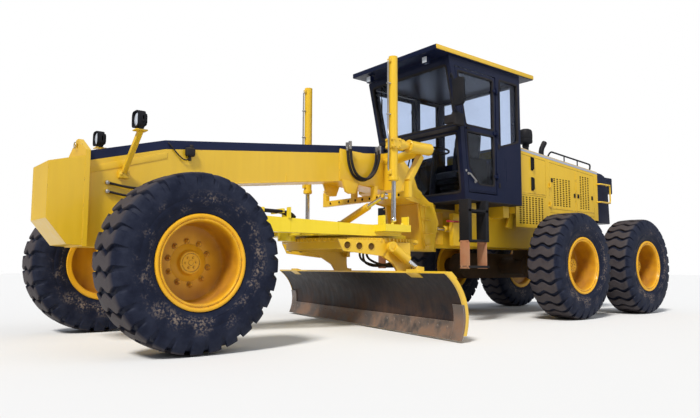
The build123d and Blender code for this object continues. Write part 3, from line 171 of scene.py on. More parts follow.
def addPrism(mesh, outline, low, high, place=None, bevel=0.0):
    # Extrudes (a, b) points along c, from low to high; place maps a, b, c.
    place = place or Matrix.Identity(4)
    near = [mesh.verts.new(place @ Vector((a, b, low))) for a, b in outline]
    far = [mesh.verts.new(place @ Vector((a, b, high))) for a, b in outline]
    faces = [mesh.faces.new(near[::-1]), mesh.faces.new(far)]
    for step in range(len(outline)):
        after = (step + 1) % len(outline)
        faces.append(mesh.faces.new((near[step], near[after], far[after], far[step])))
    if bevel:
        edges = list({edge for face in faces for edge in face.edges})
        bmesh.ops.bevel(mesh, geom=edges, offset=bevel, segments=2, affect="EDGES", profile=0.6)


sideView = Matrix(((1, 0, 0, 0), (0, 0, 1, 0), (0, 1, 0, 0), (0, 0, 0, 1)))  # (x, z) outlines, along y
frontView = Matrix(((0, 0, 1, 0), (1, 0, 0, 0), (0, 1, 0, 0), (0, 0, 0, 1)))  # (y, z) outlines, along x
bladeView = bladeFrame @ sideView  # (v, z) outlines, along u


def addFlank(mesh, outline, low, high, bevel=0.0):
    # An (x, z) outline, x from the front axle, extruded along y.
    addPrism(mesh, shifted(outline), low, high, sideView, bevel)


def addBolt(mesh, centre, direction, across=0.03, height=0.016, washer=True):
    place = axisFrame(centre, direction)
    radius = across * 0.577
    if washer:
        addLathe(mesh, [(0, -0.002), (radius * 1.25, -0.002), (radius * 1.25, 0.003), (0, 0.003)], place, 16)
    profile = [(0, 0), (radius, 0), (radius, height * 0.82), (radius * 0.86, height), (0, height)]
    addLathe(mesh, profile, place, 6, spin=0.3)


def addHose(mesh, points, radius, sidesAround=3, order=3):
    # A round tube along a smooth line near the points.
    curve = bpy.data.curves.new("hoseLine", "CURVE")
    curve.dimensions = "3D"
    curve.bevel_depth = radius
    curve.bevel_resolution = sidesAround
    curve.use_fill_caps = True
    spline = curve.splines.new("NURBS")
    spline.points.add(len(points) - 1)
    for slot, point in zip(spline.points, points):
        slot.co = (*point, 1)
    spline.order_u = order
    spline.use_endpoint_u = True
    spline.resolution_u = 6
    holder = bpy.data.objects.new("hoseLine", curve)
    scene.collection.objects.link(holder)
    bpy.context.view_layer.update()
    baked = bpy.data.meshes.new_from_object(holder.evaluated_get(bpy.context.evaluated_depsgraph_get()))
    mesh.from_mesh(baked)
    bpy.data.objects.remove(holder)
    bpy.data.curves.remove(curve)
    bpy.data.meshes.remove(baked)


def addBentBar(mesh, points, radius, corner=0.05, count=12):
    # A bent bar: straight runs joined by round bends.
    points = [Vector(point) for point in points]
    line = [points[0]]
    for before, here, after in zip(points, points[1:], points[2:]):
        reach = min(corner, (here - before).length * 0.45, (after - here).length * 0.45)
        start = here + (before - here).normalized() * reach
        end = here + (after - here).normalized() * reach
        for step in range(7):
            t = step / 6
            line.append(start * (1 - t) ** 2 + here * 2 * t * (1 - t) + end * t * t)
    line.append(points[-1])
    rings = []
    angles = [2 * pi * k / count for k in range(count)]
    side = (line[1] - line[0]).orthogonal().normalized()
    for index, point in enumerate(line):
        ahead = line[min(index + 1, len(line) - 1)] - line[max(index - 1, 0)]
        ahead.normalize()
        side = (side - ahead * side.dot(ahead)).normalized()
        other = ahead.cross(side)
        rings.append([mesh.verts.new(point + (side * cos(angle) + other * sin(angle)) * radius) for angle in angles])
    for first, second in zip(rings, rings[1:]):
        for k in range(count):
            mesh.faces.new((first[k], first[(k + 1) % count], second[(k + 1) % count], second[k]))
    mesh.faces.new(rings[0][::-1])
    mesh.faces.new(rings[-1])


def addWeld(mesh, start, end, radius=0.006):
    # A rippled weld bead.
    start, end = Vector(start), Vector(end)
    length = (end - start).length
    steps = max(4, int(length / 0.02))
    profile = [(0, 0)]
    for step in range(steps + 1):
        swell = radius * (1.0 if step % 2 else 0.75)
        profile.append((swell, length * step / steps))
    profile.append((0, length))
    addLathe(mesh, profile, axisFrame(start, end - start), 8)


def finishPiece(mesh, name, body, material, replaces=(), smooth=35, origin=None):
    bmesh.ops.recalc_face_normals(mesh, faces=mesh.faces)
    data = bpy.data.meshes.new(name)
    mesh.to_mesh(data)
    mesh.free()
    data.polygons.foreach_set("use_smooth", [True] * len(data.polygons))
    data.set_sharp_from_angle(angle=radians(smooth))
    data.materials.append(material)
    piece = bpy.data.objects.new(name, data)
    scene.collection.objects.link(piece)
    if origin is not None:
        data.transform(Matrix.Translation(-Vector(origin)))
        piece.location = origin
    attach(piece, body)
    if replaces:
        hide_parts(*replaces)
    return piece


# Shader node groups.


def newGroup(name, inputs, outputs):
    group = bpy.data.node_groups.new(name, "ShaderNodeTree")
    for label, kind, value in inputs:
        made = group.interface.new_socket(name=label, in_out="INPUT", socket_type=kind)
        made.default_value = value
    for label, kind in outputs:
        group.interface.new_socket(name=label, in_out="OUTPUT", socket_type=kind)
    return group, group.nodes.new("NodeGroupInput").outputs, group.nodes.new("NodeGroupOutput").inputs


def addNode(tree, kind, inputs=None, **options):
    made = tree.nodes.new("ShaderNode" + kind)
    for option, value in options.items():
        setattr(made, option, value)
    for label, value in (inputs or {}).items():
        if isinstance(value, bpy.types.NodeSocket):
            tree.links.new(value, made.inputs[label])
        else:
            made.inputs[label].default_value = value
    return made


def maths(tree, operation, first, second=0.0, third=0.0, clamp=False):
    made = addNode(tree, "Math", {0: first, 1: second, 2: third}, operation=operation)
    made.use_clamp = clamp
    return made.outputs[0]


def times(tree, first, second, clamp=False):
    return maths(tree, "MULTIPLY", first, second, clamp=clamp)


def plus(tree, first, second, clamp=False):
    return maths(tree, "ADD", first, second, clamp=clamp)


def objectPlace(tree):
    return addNode(tree, "TexCoord").outputs["Object"]


def noise(tree, place, scale, detail, roughness=0.5):
    inputs = {"Vector": place, "Scale": scale, "Detail": detail, "Roughness": roughness}
    return addNode(tree, "TexNoise", inputs).outputs[0]


def radiusFrom(tree, place):
    # Distance from the local y axis.
    parts = addNode(tree, "SeparateXYZ", {0: place}).outputs
    return maths(tree, "SQRT", plus(tree, times(tree, parts[0], parts[0]), times(tree, parts[2], parts[2])))


def addBump(tree, height, strength, distance, **normal):
    inputs = {"Height": height, "Strength": strength, "Distance": distance, **normal}
    return addNode(tree, "Bump", inputs).outputs[0]


def ramp(tree, value, low, high, lowTo=0.0, highTo=1.0):
    inputs = {"Value": value, "From Min": low, "From Max": high, "To Min": lowTo, "To Max": highTo}
    return addNode(tree, "MapRange", inputs).outputs[0]


def mixColour(tree, factor, first, second, blend="MIX"):
    made = tree.nodes.new("ShaderNodeMix")
    made.data_type = "RGBA"
    made.blend_type = blend
    for label, value in ((0, factor), (6, first), (7, second)):
        if isinstance(value, bpy.types.NodeSocket):
            tree.links.new(value, made.inputs[label])
        else:
            made.inputs[label].default_value = value
    return made.outputs[2]


floatKind, colourKind, vectorKind = "NodeSocketFloat", "NodeSocketColor", "NodeSocketVector"


def buildSkinVariation():
    # Large cloudy and fine speckled change of a colour, with its height and roughness.
    group, source, sink = newGroup(
        "skinVariation",
        [
            ("Color", colourKind, (1, 1, 1, 1)), ("Amount", floatKind, 0.1), ("Scale", floatKind, 3.0),
            ("Base Roughness", floatKind, 0.4)
        ],
        [("Color", colourKind), ("Roughness", floatKind), ("Height", floatKind)],
    )
    place = objectPlace(group)
    cloud = noise(group, place, source["Scale"], 5.0, 0.55)
    speckle = noise(group, place, 160.0, 2.0)
    streakPlace = addNode(group, "Mapping", {"Vector": place, "Scale": (9.0, 9.0, 0.8)}).outputs[0]
    streak = noise(group, streakPlace, 2.2, 4.0)
    both = plus(group, times(group, cloud, 0.6), times(group, streak, 0.4))
    shift = times(group, maths(group, "SUBTRACT", both, 0.5), source["Amount"])
    value = plus(group, times(group, shift, 4.0), 1.0)
    hue = plus(group, times(group, shift, 0.12), 0.5)
    inputs = {"Hue": hue, "Saturation": 1.0, "Value": value, "Fac": 1.0, "Color": source["Color"]}
    coloured = addNode(group, "HueSaturation", inputs).outputs[0]
    rough = plus(group, source["Base Roughness"], times(group, maths(group, "SUBTRACT", streak, 0.5), 0.35))
    group.links.new(coloured, sink["Color"])
    group.links.new(rough, sink["Roughness"])
    group.links.new(plus(group, times(group, speckle, 0.5), cloud), sink["Height"])
    return group


def buildEdgeWear():
    # Mask of rubbed edges, broken up by noise, and the softened normal.
    group, source, sink = newGroup(
        "edgeWear",
        [("Radius", floatKind, 0.006), ("Amount", floatKind, 0.5), ("Scale", floatKind, 14.0)],
        [("Mask", floatKind), ("Normal", vectorKind)],
    )
    soft = addNode(group, "Bevel", {"Radius": source["Radius"]}, samples=4).outputs[0]
    true = addNode(group, "NewGeometry").outputs["Normal"]
    agree = addNode(group, "VectorMath", {0: soft, 1: true}, operation="DOT_PRODUCT").outputs["Value"]
    edge = ramp(group, agree, 0.995, 0.90)
    place = objectPlace(group)
    chips = noise(group, place, source["Scale"], 6.0, 0.7)
    limit = maths(group, "SUBTRACT", 1.0, source["Amount"])
    broken = ramp(group, chips, times(group, limit, 0.75), plus(group, times(group, limit, 0.75), 0.12))
    group.links.new(times(group, edge, broken, clamp=True), sink["Mask"])
    group.links.new(soft, sink["Normal"])
    return group


def buildDustLayer():
    # Road dust on upward faces and near the ground, laid over a colour.
    group, source, sink = newGroup(
        "dustLayer",
        [
            ("Color", colourKind, (1, 1, 1, 1)), ("Dust", colourKind, (0.33, 0.25, 0.17, 1)),
            ("Amount", floatKind, 0.3), ("Height", floatKind, 1.0), ("Scale", floatKind, 4.0)
        ],
        [("Color", colourKind), ("Mask", floatKind)],
    )
    coords = addNode(group, "TexCoord").outputs
    facing = addNode(group, "SeparateXYZ", {0: coords["Normal"]}).outputs[2]
    level = addNode(group, "SeparateXYZ", {0: coords["Object"]}).outputs[2]
    low = ramp(group, level, source["Height"], 0.1)
    top = ramp(group, facing, 0.3, 1.0, 0.0, 0.5)
    grain = noise(group, coords["Object"], source["Scale"], 9.0, 0.68)
    patchy = ramp(group, grain, 0.36, 0.68)
    amount = times(group, plus(group, plus(group, low, top), 0.12), source["Amount"])
    mask = times(group, times(group, patchy, amount), 1.6, clamp=True)
    group.links.new(mixColour(group, mask, source["Color"], source["Dust"]), sink["Color"])
    group.links.new(mask, sink["Mask"])
    return group


skinVariation, edgeWear, dustLayer = buildSkinVariation(), buildEdgeWear(), buildDustLayer()


def useGroup(tree, group, **inputs):
    made = tree.nodes.new("ShaderNodeGroup")
    made.node_tree = group
    for label, value in inputs.items():
        label = label[0].upper() + label[1:]
        label = {"BaseRoughness": "Base Roughness"}.get(label, label)
        if isinstance(value, bpy.types.NodeSocket):
            tree.links.new(value, made.inputs[label])
        else:
            made.inputs[label].default_value = value
    return made.outputs


def rgba(colour):
    return (*colour, 1.0)


def newMaterial(name):
    made = bpy.data.materials.new(name)
    made.use_nodes = True
    shader = next(node for node in made.node_tree.nodes if node.type == "BSDF_PRINCIPLED")
    return made, made.node_tree, shader


def shadeBarrel(tree, colour, shade):
    # Painted shade in a rim, patchy like brake dust: none on the lip, most in the barrel, some on the disc.
    place = objectPlace(tree)
    radius = radiusFrom(tree, place)
    cloud = noise(tree, place, 7.0, 5.0)
    barrelShadeMask = times(tree, ramp(tree, radius, 0.312, 0.302), ramp(tree, radius, 0.09, 0.29, 0.05, 0.85))
    return mixColour(tree, times(tree, barrelShadeMask, ramp(tree, cloud, 0.30, 0.62, 0.65, 1.0)), colour, rgba(shade))


def wornFinish(name, **settings):
    # A painted, cast or moulded finish with clouding, rubbed edges and dust.
    base = dict(
        amount=0.08, scale=2.0, rough=0.4, wear=0.35, wearColour=(0.25, 0.22, 0.2), wearScale=14.0, radius=0.006,
        dust=0.35, dustHeight=1.1, dustColour=(0.36, 0.27, 0.18), bump=0.08, bumpDepth=0.002, metallic=0.0, coat=0.0,
        wearMetal=0.6, specular=0.5
    )
    base.update(settings)
    made, tree, shader = newMaterial(name)
    skin = useGroup(
        tree, skinVariation, color=rgba(base["colour"]), amount=base["amount"], scale=base["scale"],
        baseRoughness=base["rough"]
    )
    edge = useGroup(tree, edgeWear, radius=base["radius"], amount=base["wear"], scale=base["wearScale"])
    rubbed = mixColour(tree, edge["Mask"], skin["Color"], rgba(base["wearColour"]))
    # Painted shade in a rim's barrel and on its disc.
    if "barrel" in base:
        rubbed = shadeBarrel(tree, rubbed, base["barrel"])
    dusty = useGroup(
        tree, dustLayer, color=rubbed, dust=rgba(base["dustColour"]), amount=base["dust"], height=base["dustHeight"]
    )
    tree.links.new(dusty["Color"], shader.inputs["Base Color"])
    rough = plus(tree, skin["Roughness"], times(tree, dusty["Mask"], 0.4), clamp=True)
    tree.links.new(rough, shader.inputs["Roughness"])
    if base["metallic"]:
        clean = maths(tree, "SUBTRACT", base["metallic"], dusty["Mask"], clamp=True)
        tree.links.new(clean, shader.inputs["Metallic"])
    elif base["wearMetal"]:
        tree.links.new(times(tree, edge["Mask"], base["wearMetal"]), shader.inputs["Metallic"])
    bump = addBump(tree, skin["Height"], base["bump"], base["bumpDepth"], Normal=edge["Normal"])
    tree.links.new(bump, shader.inputs["Normal"])
    shader.inputs["Coat Weight"].default_value = base["coat"]
    shader.inputs["Coat Roughness"].default_value = 0.15
    shader.inputs["Specular IOR Level"].default_value = base["specular"]
    return made


yellowPaint = wornFinish(
    "yellowPaint", colour=(0.80, 0.50, 0.018), amount=0.07, rough=0.34, coat=0.25, wear=0.30,
    wearColour=(0.30, 0.17, 0.07), dust=0.22, dustHeight=1.0
)
brightYellow = wornFinish(
    "brightYellow", colour=(0.88, 0.66, 0.02), amount=0.06, rough=0.32, coat=0.3, wear=0.28,
    wearColour=(0.35, 0.2, 0.07), dust=0.25, dustHeight=0.9
)
# The barrel colour is painted shade, darkening the rim's barrel and part of its disc.
rimPaint = wornFinish(
    "rimPaint", colour=(0.82, 0.42, 0.010), barrel=(0.30, 0.10, 0.003), specular=0.2, amount=0.10, rough=0.40,
    coat=0.15, wear=0.45, wearColour=(0.22, 0.10, 0.04), dust=0.06, dustHeight=0.4, scale=5.0
)
navyPaint = wornFinish(
    "navyPaint", colour=(0.006, 0.010, 0.034), amount=0.08, rough=0.34, coat=0.06, wear=0.25,
    wearColour=(0.05, 0.06, 0.09), dust=0.05, dustHeight=1.2, specular=0.12
)
bandPaint = wornFinish(
    "bandPaint", colour=(0.010, 0.017, 0.055), amount=0.10, rough=0.38, coat=0.05, wear=0.20,
    wearColour=(0.06, 0.07, 0.10), dust=0.06, dustHeight=1.2, specular=0.12
)
silverPaint = wornFinish(
    "silverPaint", colour=(0.36, 0.40, 0.50), amount=0.06, rough=0.35, coat=0.2, wear=0.15, dust=0.25, dustHeight=1.0
)
blackPlastic = wornFinish(
    "blackPlastic", colour=(0.012, 0.013, 0.017), amount=0.15, rough=0.5, wear=0.2, wearColour=(0.06, 0.06, 0.065),
    dust=0.10, dustHeight=1.0, bump=0.2, wearMetal=0.0, specular=0.12
)
blackRubber = wornFinish(
    "blackRubber", colour=(0.016, 0.016, 0.02), amount=0.2, rough=0.6, wear=0.1, wearColour=(0.05, 0.05, 0.05),
    dust=0.25, dustHeight=1.0, bump=0.25, wearMetal=0.0, specular=0.12
)
strapRubber = wornFinish(
    "strapRubber", colour=(0.40, 0.16, 0.075), amount=0.2, rough=0.7, wear=0.3, wearColour=(0.5, 0.3, 0.2), dust=0.5,
    dustHeight=1.3, bump=0.3, wearMetal=0.0
)
bladeSteel = wornFinish(
    "bladeSteel", colour=(0.009, 0.008, 0.012), amount=0.35, scale=3.0, rough=0.45, metallic=0.15, specular=0.2,
    wear=0.55, wearColour=(0.20, 0.18, 0.17), dust=0.60, dustHeight=0.50, dustColour=(0.10, 0.055, 0.036), bump=0.25,
    bumpDepth=0.004
)
edgeSteel = wornFinish(
    "edgeSteel", colour=(0.16, 0.14, 0.13), amount=0.3, scale=6.0, rough=0.38, metallic=0.85, wear=0.7,
    wearColour=(0.5, 0.48, 0.46), dust=0.8, dustHeight=0.35, dustColour=(0.20, 0.12, 0.08), bump=0.3, bumpDepth=0.003
)
zincSteel = wornFinish(
    "zincSteel", colour=(0.42, 0.41, 0.40), amount=0.15, scale=12.0, rough=0.35, metallic=0.9, wear=0.3,
    wearColour=(0.6, 0.6, 0.6), dust=0.25
)
castIron = wornFinish(
    "castIron", colour=(0.05, 0.05, 0.055), amount=0.3, scale=8.0, rough=0.6, metallic=0.3, wear=0.3, dust=0.4, bump=0.4
)
# Dark brown for the rear axle: partly painted shade under the cab, partly grime; yellow shows on rubbed edges.
shadeAndGrimeIron = wornFinish(
    "shadeAndGrimeIron", colour=(0.055, 0.036, 0.020), amount=0.35, scale=5.0, rough=0.65, wear=0.3,
    wearColour=(0.35, 0.22, 0.05), dust=0.5, dustHeight=1.2, dustColour=(0.12, 0.075, 0.05), bump=0.4, specular=0.12
)
seatCloth = wornFinish(
    "seatCloth", colour=(0.035, 0.037, 0.045), amount=0.2, scale=20.0, rough=0.85, wear=0.0, dust=0.1, bump=0.35,
    bumpDepth=0.002, wearMetal=0.0
)
# Near black standing for the shade inside holes, gaps and behind louvres: painted shade.
paintedShadeBlack = wornFinish(
    "paintedShadeBlack", colour=(0.010, 0.009, 0.008), amount=0.2, rough=0.8, wear=0.0, dust=0.1, wearMetal=0.0, specular=0.12
)
# Dark brown standing for the shade at the bottom of holes: painted shade.
paintedPocketShade = wornFinish(
    "paintedPocketShade", colour=(0.11, 0.055, 0.010), amount=0.2, rough=0.8, wear=0.0, dust=0.2, wearMetal=0.0, specular=0.12
)
redLens = wornFinish(
    "redLens", colour=(0.45, 0.012, 0.02), amount=0.1, rough=0.2, coat=0.6, wear=0.0, dust=0.15, scale=30.0,
    wearMetal=0.0
)


def buildChrome():
    made, tree, shader = newMaterial("chromeRod")
    place = objectPlace(tree)
    rings = addNode(tree, "Mapping", {"Vector": place, "Scale": (4.0, 4.0, 220.0)}).outputs[0]
    fine = noise(tree, rings, 2.0, 3.0)
    film = noise(tree, place, 9.0, 5.0)
    colour = mixColour(tree, ramp(tree, film, 0.45, 0.75), rgba((0.78, 0.79, 0.82)), rgba((0.50, 0.50, 0.52)))
    tree.links.new(colour, shader.inputs["Base Color"])
    tree.links.new(ramp(tree, film, 0.3, 0.8, 0.08, 0.30), shader.inputs["Roughness"])
    tree.links.new(addBump(tree, fine, 0.05, 0.0005), shader.inputs["Normal"])
    shader.inputs["Metallic"].default_value = 1.0
    return made


def buildGlass(name, colour, roughness):
    made, tree, shader = newMaterial(name)
    place = objectPlace(tree)
    film = noise(tree, place, 1.6, 4.0, 0.5)
    tinted = mixColour(tree, ramp(tree, film, 0.35, 0.75), rgba(colour), rgba([value * 0.92 for value in colour]))
    tree.links.new(tinted, shader.inputs["Base Color"])
    tree.links.new(ramp(tree, film, 0.3, 0.8, roughness, roughness + 0.015), shader.inputs["Roughness"])
    shader.inputs["Transmission Weight"].default_value = 1.0
    shader.inputs["IOR"].default_value = 1.18
    return made


def buildLens():
    made, tree, shader = newMaterial("lampLens")
    place = objectPlace(tree)
    inputs = {"Vector": place, "Scale": 26.0, "Distortion": 1.0}
    flutes = addNode(tree, "TexWave", inputs, bands_direction="Y").outputs[1]
    colour = mixColour(tree, flutes, rgba((0.86, 0.90, 0.96)), rgba((0.42, 0.48, 0.58)))
    tree.links.new(colour, shader.inputs["Base Color"])
    tree.links.new(ramp(tree, flutes, 0.0, 1.0, 0.08, 0.25), shader.inputs["Roughness"])
    tree.links.new(addBump(tree, flutes, 0.4, 0.003), shader.inputs["Normal"])
    shader.inputs["Coat Weight"].default_value = 1.0
    return made


def buildMirrorGlass():
    made, tree, shader = newMaterial("mirrorGlass")
    place = objectPlace(tree)
    film = noise(tree, place, 7.0, 5.0)
    colour = mixColour(tree, film, rgba((0.75, 0.78, 0.82)), rgba((0.6, 0.63, 0.67)))
    tree.links.new(colour, shader.inputs["Base Color"])
    tree.links.new(ramp(tree, film, 0.4, 0.8, 0.03, 0.12), shader.inputs["Roughness"])
    shader.inputs["Metallic"].default_value = 1.0
    return made


def buildTyreRubber():
    # Tread rubber: dry dust on the lug tops, mud in the sidewall's ring, dark grooves.
    made, tree, shader = newMaterial("tyreRubber")
    place = objectPlace(tree)
    radius = radiusFrom(tree, place)
    cloud = noise(tree, place, 6.0, 8.0, 0.65)
    fine = noise(tree, place, 60.0, 4.0)
    rubber = mixColour(tree, ramp(tree, cloud, 0.3, 0.75), rgba((0.004, 0.006, 0.018)), rgba((0.016, 0.022, 0.046)))
    treadTop = times(tree, ramp(tree, radius, 0.664, 0.680), ramp(tree, cloud, 0.25, 0.6, 0.45, 1.0))
    dusted = mixColour(tree, treadTop, rubber, rgba((0.070, 0.058, 0.058)))
    ringIn = times(tree, ramp(tree, radius, 0.385, 0.43), ramp(tree, radius, 0.55, 0.47))
    mud = times(tree, ringIn, ramp(tree, cloud, 0.46, 0.60), clamp=True)
    chips = times(tree, mud, ramp(tree, fine, 0.47, 0.64), clamp=True)
    muddy = mixColour(tree, chips, dusted, rgba((0.21, 0.165, 0.135)))
    haze = times(tree, ramp(tree, radius, 0.47, 0.56), ramp(tree, cloud, 0.4, 0.8), clamp=True)
    final = mixColour(tree, times(tree, haze, 0.35), muddy, rgba((0.050, 0.052, 0.072)))
    tree.links.new(final, shader.inputs["Base Color"])
    tree.links.new(ramp(tree, cloud, 0.3, 0.8, 0.50, 0.80), shader.inputs["Roughness"])
    shader.inputs["Specular IOR Level"].default_value = 0.15
    soft = addNode(tree, "Bevel", {"Radius": 0.007}, samples=4).outputs[0]
    height = plus(tree, cloud, times(tree, fine, 0.35))
    tree.links.new(addBump(tree, height, 0.35, 0.006, Normal=soft), shader.inputs["Normal"])
    return made


chromeRod = buildChrome()
cabGlass = buildGlass("cabGlass", (0.70, 0.77, 0.90), 0.01)
lampLens, mirrorGlass, tyreRubber = buildLens(), buildMirrorGlass(), buildTyreRubber()
print("finishes made")

# Finishes of the carried-over nodes.


def bothSides(name):
    return [f"{name}_{sideName}" for sideName in sides]


finishOf = {
    yellowPaint: [
        "front_frame", "front_counterweight", "front_axle", *bothSides("lean_yoke"), *bothSides("steering_knuckle"),
        "lean_bar", "tie_rod_end", "tie_rod", "drawbar_swivel", "circle", "blade_carrier", "moldboard",
        "tip_cylinder_barrel", *bothSides("lift_cylinder_barrel"), "centre_shift_barrel", "rear_frame",
        *bothSides("articulation_barrel"), "cab_roof", "hood", *bothSides("engine_door_front"),
        *bothSides("engine_door_rear"),
    ],
    brightYellow: ["drawbar"],
    bandPaint: ["frame_top_cover"],
    navyPaint: ["cab_shell", *bothSides("cab_door"), "tail_shroud"],
    blackPlastic: ["cab_steps_and_mirrors", "engine_stacks"],
    edgeSteel: ["cutting_edge"],
    castIron: ["engine"],
    shadeAndGrimeIron: ["rear_axle"],
    chromeRod: [
        "side_shift_rod", "tip_cylinder_rod", *bothSides("lift_cylinder_rod"), "centre_shift_rod",
        *bothSides("articulation_rod"),
    ],
    cabGlass: ["cab_glass"],
}
for material, names in finishOf.items():
    for name in names:
        carried = nodes[name].data.materials
        carried.clear()
        carried.append(material)

# Tyres.

tyreSettings = dict(lugs=28, crown=0.687, pitchWave=0.022, waveLength=0.205)


def buildTyre():
    # Half section from the crown to the bead: (lug radius, groove radius, offset).
    s = tyreSettings
    crown = s["crown"]
    section = []
    for step in range(9):
        y = 0.02 * step
        drop = 0.006 * (y / 0.165) ** 2
        section.append((crown - drop, crown - 0.031 - drop, y))
    section += [
        (0.678, 0.646, 0.176), (0.668, 0.634, 0.190), (0.648, 0.612, 0.206), (0.622, 0.590, 0.216),
        (0.597, 0.573, 0.2225), (0.577, 0.562, 0.2255)
    ]
    wall = [
        (0.548, 0.2265), (0.520, 0.227), (0.492, 0.2265), (0.484, 0.2235), (0.476, 0.2262), (0.452, 0.2235),
        (0.428, 0.2165), (0.421, 0.2125), (0.414, 0.2135), (0.398, 0.205), (0.384, 0.1985), (0.372, 0.1955),
        (0.3635, 0.1830), (0.330, 0.1820)
    ]
    section += [(radius, radius, y) for radius, y in wall]
    rows = [(a, b, -y) for a, b, y in section[:0:-1]] + section
    columns = [(0.0, 0), (0.12, 0), (0.175, 1), (0.24, 1), (0.5, 1), (0.76, 1), (0.825, 1), (0.88, 0)]
    chips = Random(4)
    mesh = bmesh.new()
    rings = []
    for lug in range(s["lugs"]):
        skew = chips.uniform(-0.02, 0.02)
        for share, raised in columns:
            ring = []
            for lugRadius, grooveRadius, y in rows:
                radius = lugRadius if raised else grooveRadius
                fade = min(1.0, max(0.0, (0.26 - abs(y)) / 0.06))
                wave = s["pitchWave"] * cos(2 * pi * y / s["waveLength"]) * fade / crown
                wear = chips.uniform(-0.0012, 0.0) if raised and lugRadius != grooveRadius else 0.0
                angle = 2 * pi * (lug + share + skew * raised) / s["lugs"] + wave
                ring.append(mesh.verts.new(((radius + wear) * cos(angle), y, (radius + wear) * sin(angle))))
            rings.append(ring)
    for first, second in zip(rings, rings[1:] + rings[:1]):
        for k in range(len(rows) - 1):
            mesh.faces.new((first[k], first[k + 1], second[k + 1], second[k]))
    bmesh.ops.recalc_face_normals(mesh, faces=mesh.faces)
    return mesh


# Rims.

rimSettings = {
    "front": dict(disc=-0.050, hub=0.000, hubBack=-0.095, studs=10, studCircle=0.1675, count=72),
    "rear": dict(disc=-0.085, hub=0.042, hubBack=-0.108, studs=10, studCircle=0.1675, count=72),
}


def buildRim(row):
    # Rim, disc and hub about local y, outboard along +y.
    s = rimSettings[row]
    disc, hub = s["disc"], s["hub"]
    outer = [
        (0.3165, 0.181), (0.330, 0.1825), (0.3625, 0.1835), (0.3655, 0.190), (0.3640, 0.1975), (0.3560, 0.2030),
        (0.3450, 0.2035), (0.3370, 0.1990), (0.3335, 0.1915), (0.3290, 0.1905), (0.3265, 0.1950), (0.3200, 0.1975),
        (0.3135, 0.1950), (0.3110, 0.1880), (0.3065, 0.1760), (0.3045, 0.150), (0.3030, 0.110), (0.3010, disc + 0.035),
        (0.2960, disc + 0.014), (0.2860, disc + 0.003), (0.2700, disc)
    ]
    middle = [
        (0.2300, disc - 0.002), (0.2050, disc), (0.1450, disc), (0.1400, disc + 0.004), (0.1060, disc + 0.010),
        (0.0980, disc + 0.016), (0.0930, disc + 0.026), (0.0905, hub - 0.012), (0.0870, hub - 0.004), (0.0800, hub),
        (0.0735, hub), (0.0720, hub - 0.003), (0.0700, hub - 0.003), (0.0685, hub), (0.0210, hub),
        (0.0200, hub + 0.004), (0.0, hub + 0.004)
    ]
    back = [
        (0.0, s["hubBack"]), (0.0905, s["hubBack"]), (0.0930, disc - 0.03), (0.110, disc - 0.02),
        (0.2750, disc - 0.018), (0.2960, disc - 0.030), (0.3030, disc - 0.055), (0.3045, -0.15), (0.3100, -0.188),
        (0.3180, -0.1960), (0.3400, -0.1995), (0.3560, -0.2020), (0.3645, -0.1965), (0.3655, -0.190), (0.3625, -0.1835),
        (0.3165, -0.181)
    ]
    mesh = bmesh.new()
    turn = Matrix(((1, 0, 0, 0), (0, 0, 1, 0), (0, -1, 0, 0), (0, 0, 0, 1)))  # local z to +y
    count = s["count"]
    first = addLathe(mesh, outer + middle, turn, count)[0]
    second = addLathe(mesh, back, turn, count)[-1]
    for k in range(count):
        mesh.faces.new((first[k], second[k], second[(k + 1) % count], first[(k + 1) % count]))
    for k in range(s["studs"]):
        angle = 2 * pi * (k + 0.5) / s["studs"]
        stud = Vector((s["studCircle"] * cos(angle), disc - 0.001, s["studCircle"] * sin(angle)))
        addBolt(mesh, stud, (0, 1, 0), 0.032, 0.020)
        addPin(mesh, stud, (0, 0.018, 0), (0, 0.034, 0), 0.010, 12, 0.002)
    for k in range(6):
        angle = 2 * pi * k / 6
        addBolt(mesh, (0.043 * cos(angle), hub, 0.043 * sin(angle)), (0, 1, 0), 0.015, 0.008, washer=False)
    addRod(mesh, (0.262, disc, 0.06), (0.262, disc + 0.06, 0.075), 0.006, 10, 0.001)
    return mesh


wheelSpins = {"front": 0.10, "middle": 0.31, "rear": 0.52}  # each row stands turned a little


def addWheels():
    shared = {"tyre": buildTyre(), "front": buildRim("front"), "rear": buildRim("rear")}
    for row, spin in wheelSpins.items():
        for sideName, side in sides.items():
            middle = pivotOf(f"{row}_wheel_spin_{sideName}")
            rim = "front" if row == "front" else "rear"
            for part, kind, material in (("tyre", "tyre", tyreRubber), ("rim", rim, rimPaint)):
                mesh = shared[kind].copy()
                place = Matrix.Translation(middle) @ Matrix.Rotation(spin, 4, "Y")
                if side < 0:
                    place = place @ Matrix.Diagonal((1, -1, 1, 1))
                bmesh.ops.transform(mesh, matrix=place, verts=mesh.verts)
                node = f"{row}_{part}_{sideName}"
                body = f"{row}_wheel_{sideName}"
                finishPiece(mesh, node + "_detail", body, material, [node], smooth=32, origin=middle)
    for mesh in shared.values():
        mesh.free()


addWheels()
print("wheels made")

# Small shape helpers that several pieces share.


def insetOutline(outline, amount):
    # Moves every side of an outline inward by an amount.
    area = sum(a[0] * b[1] - b[0] * a[1] for a, b in zip(outline, outline[1:] + outline[:1]))
    turn = 1 if area > 0 else -1
    made = []
    for before, here, after in zip(outline[-1:] + outline[:-1], outline, outline[1:] + outline[:1]):
        first = (Vector(here) - Vector(before)).normalized()
        second = (Vector(after) - Vector(here)).normalized()
        one, two = Vector((-first.y, first.x)) * turn, Vector((-second.y, second.x)) * turn
        step = (one + two) * (amount / (1 + one.dot(two)))
        made.append((here[0] + step.x, here[1] + step.y))
    return made


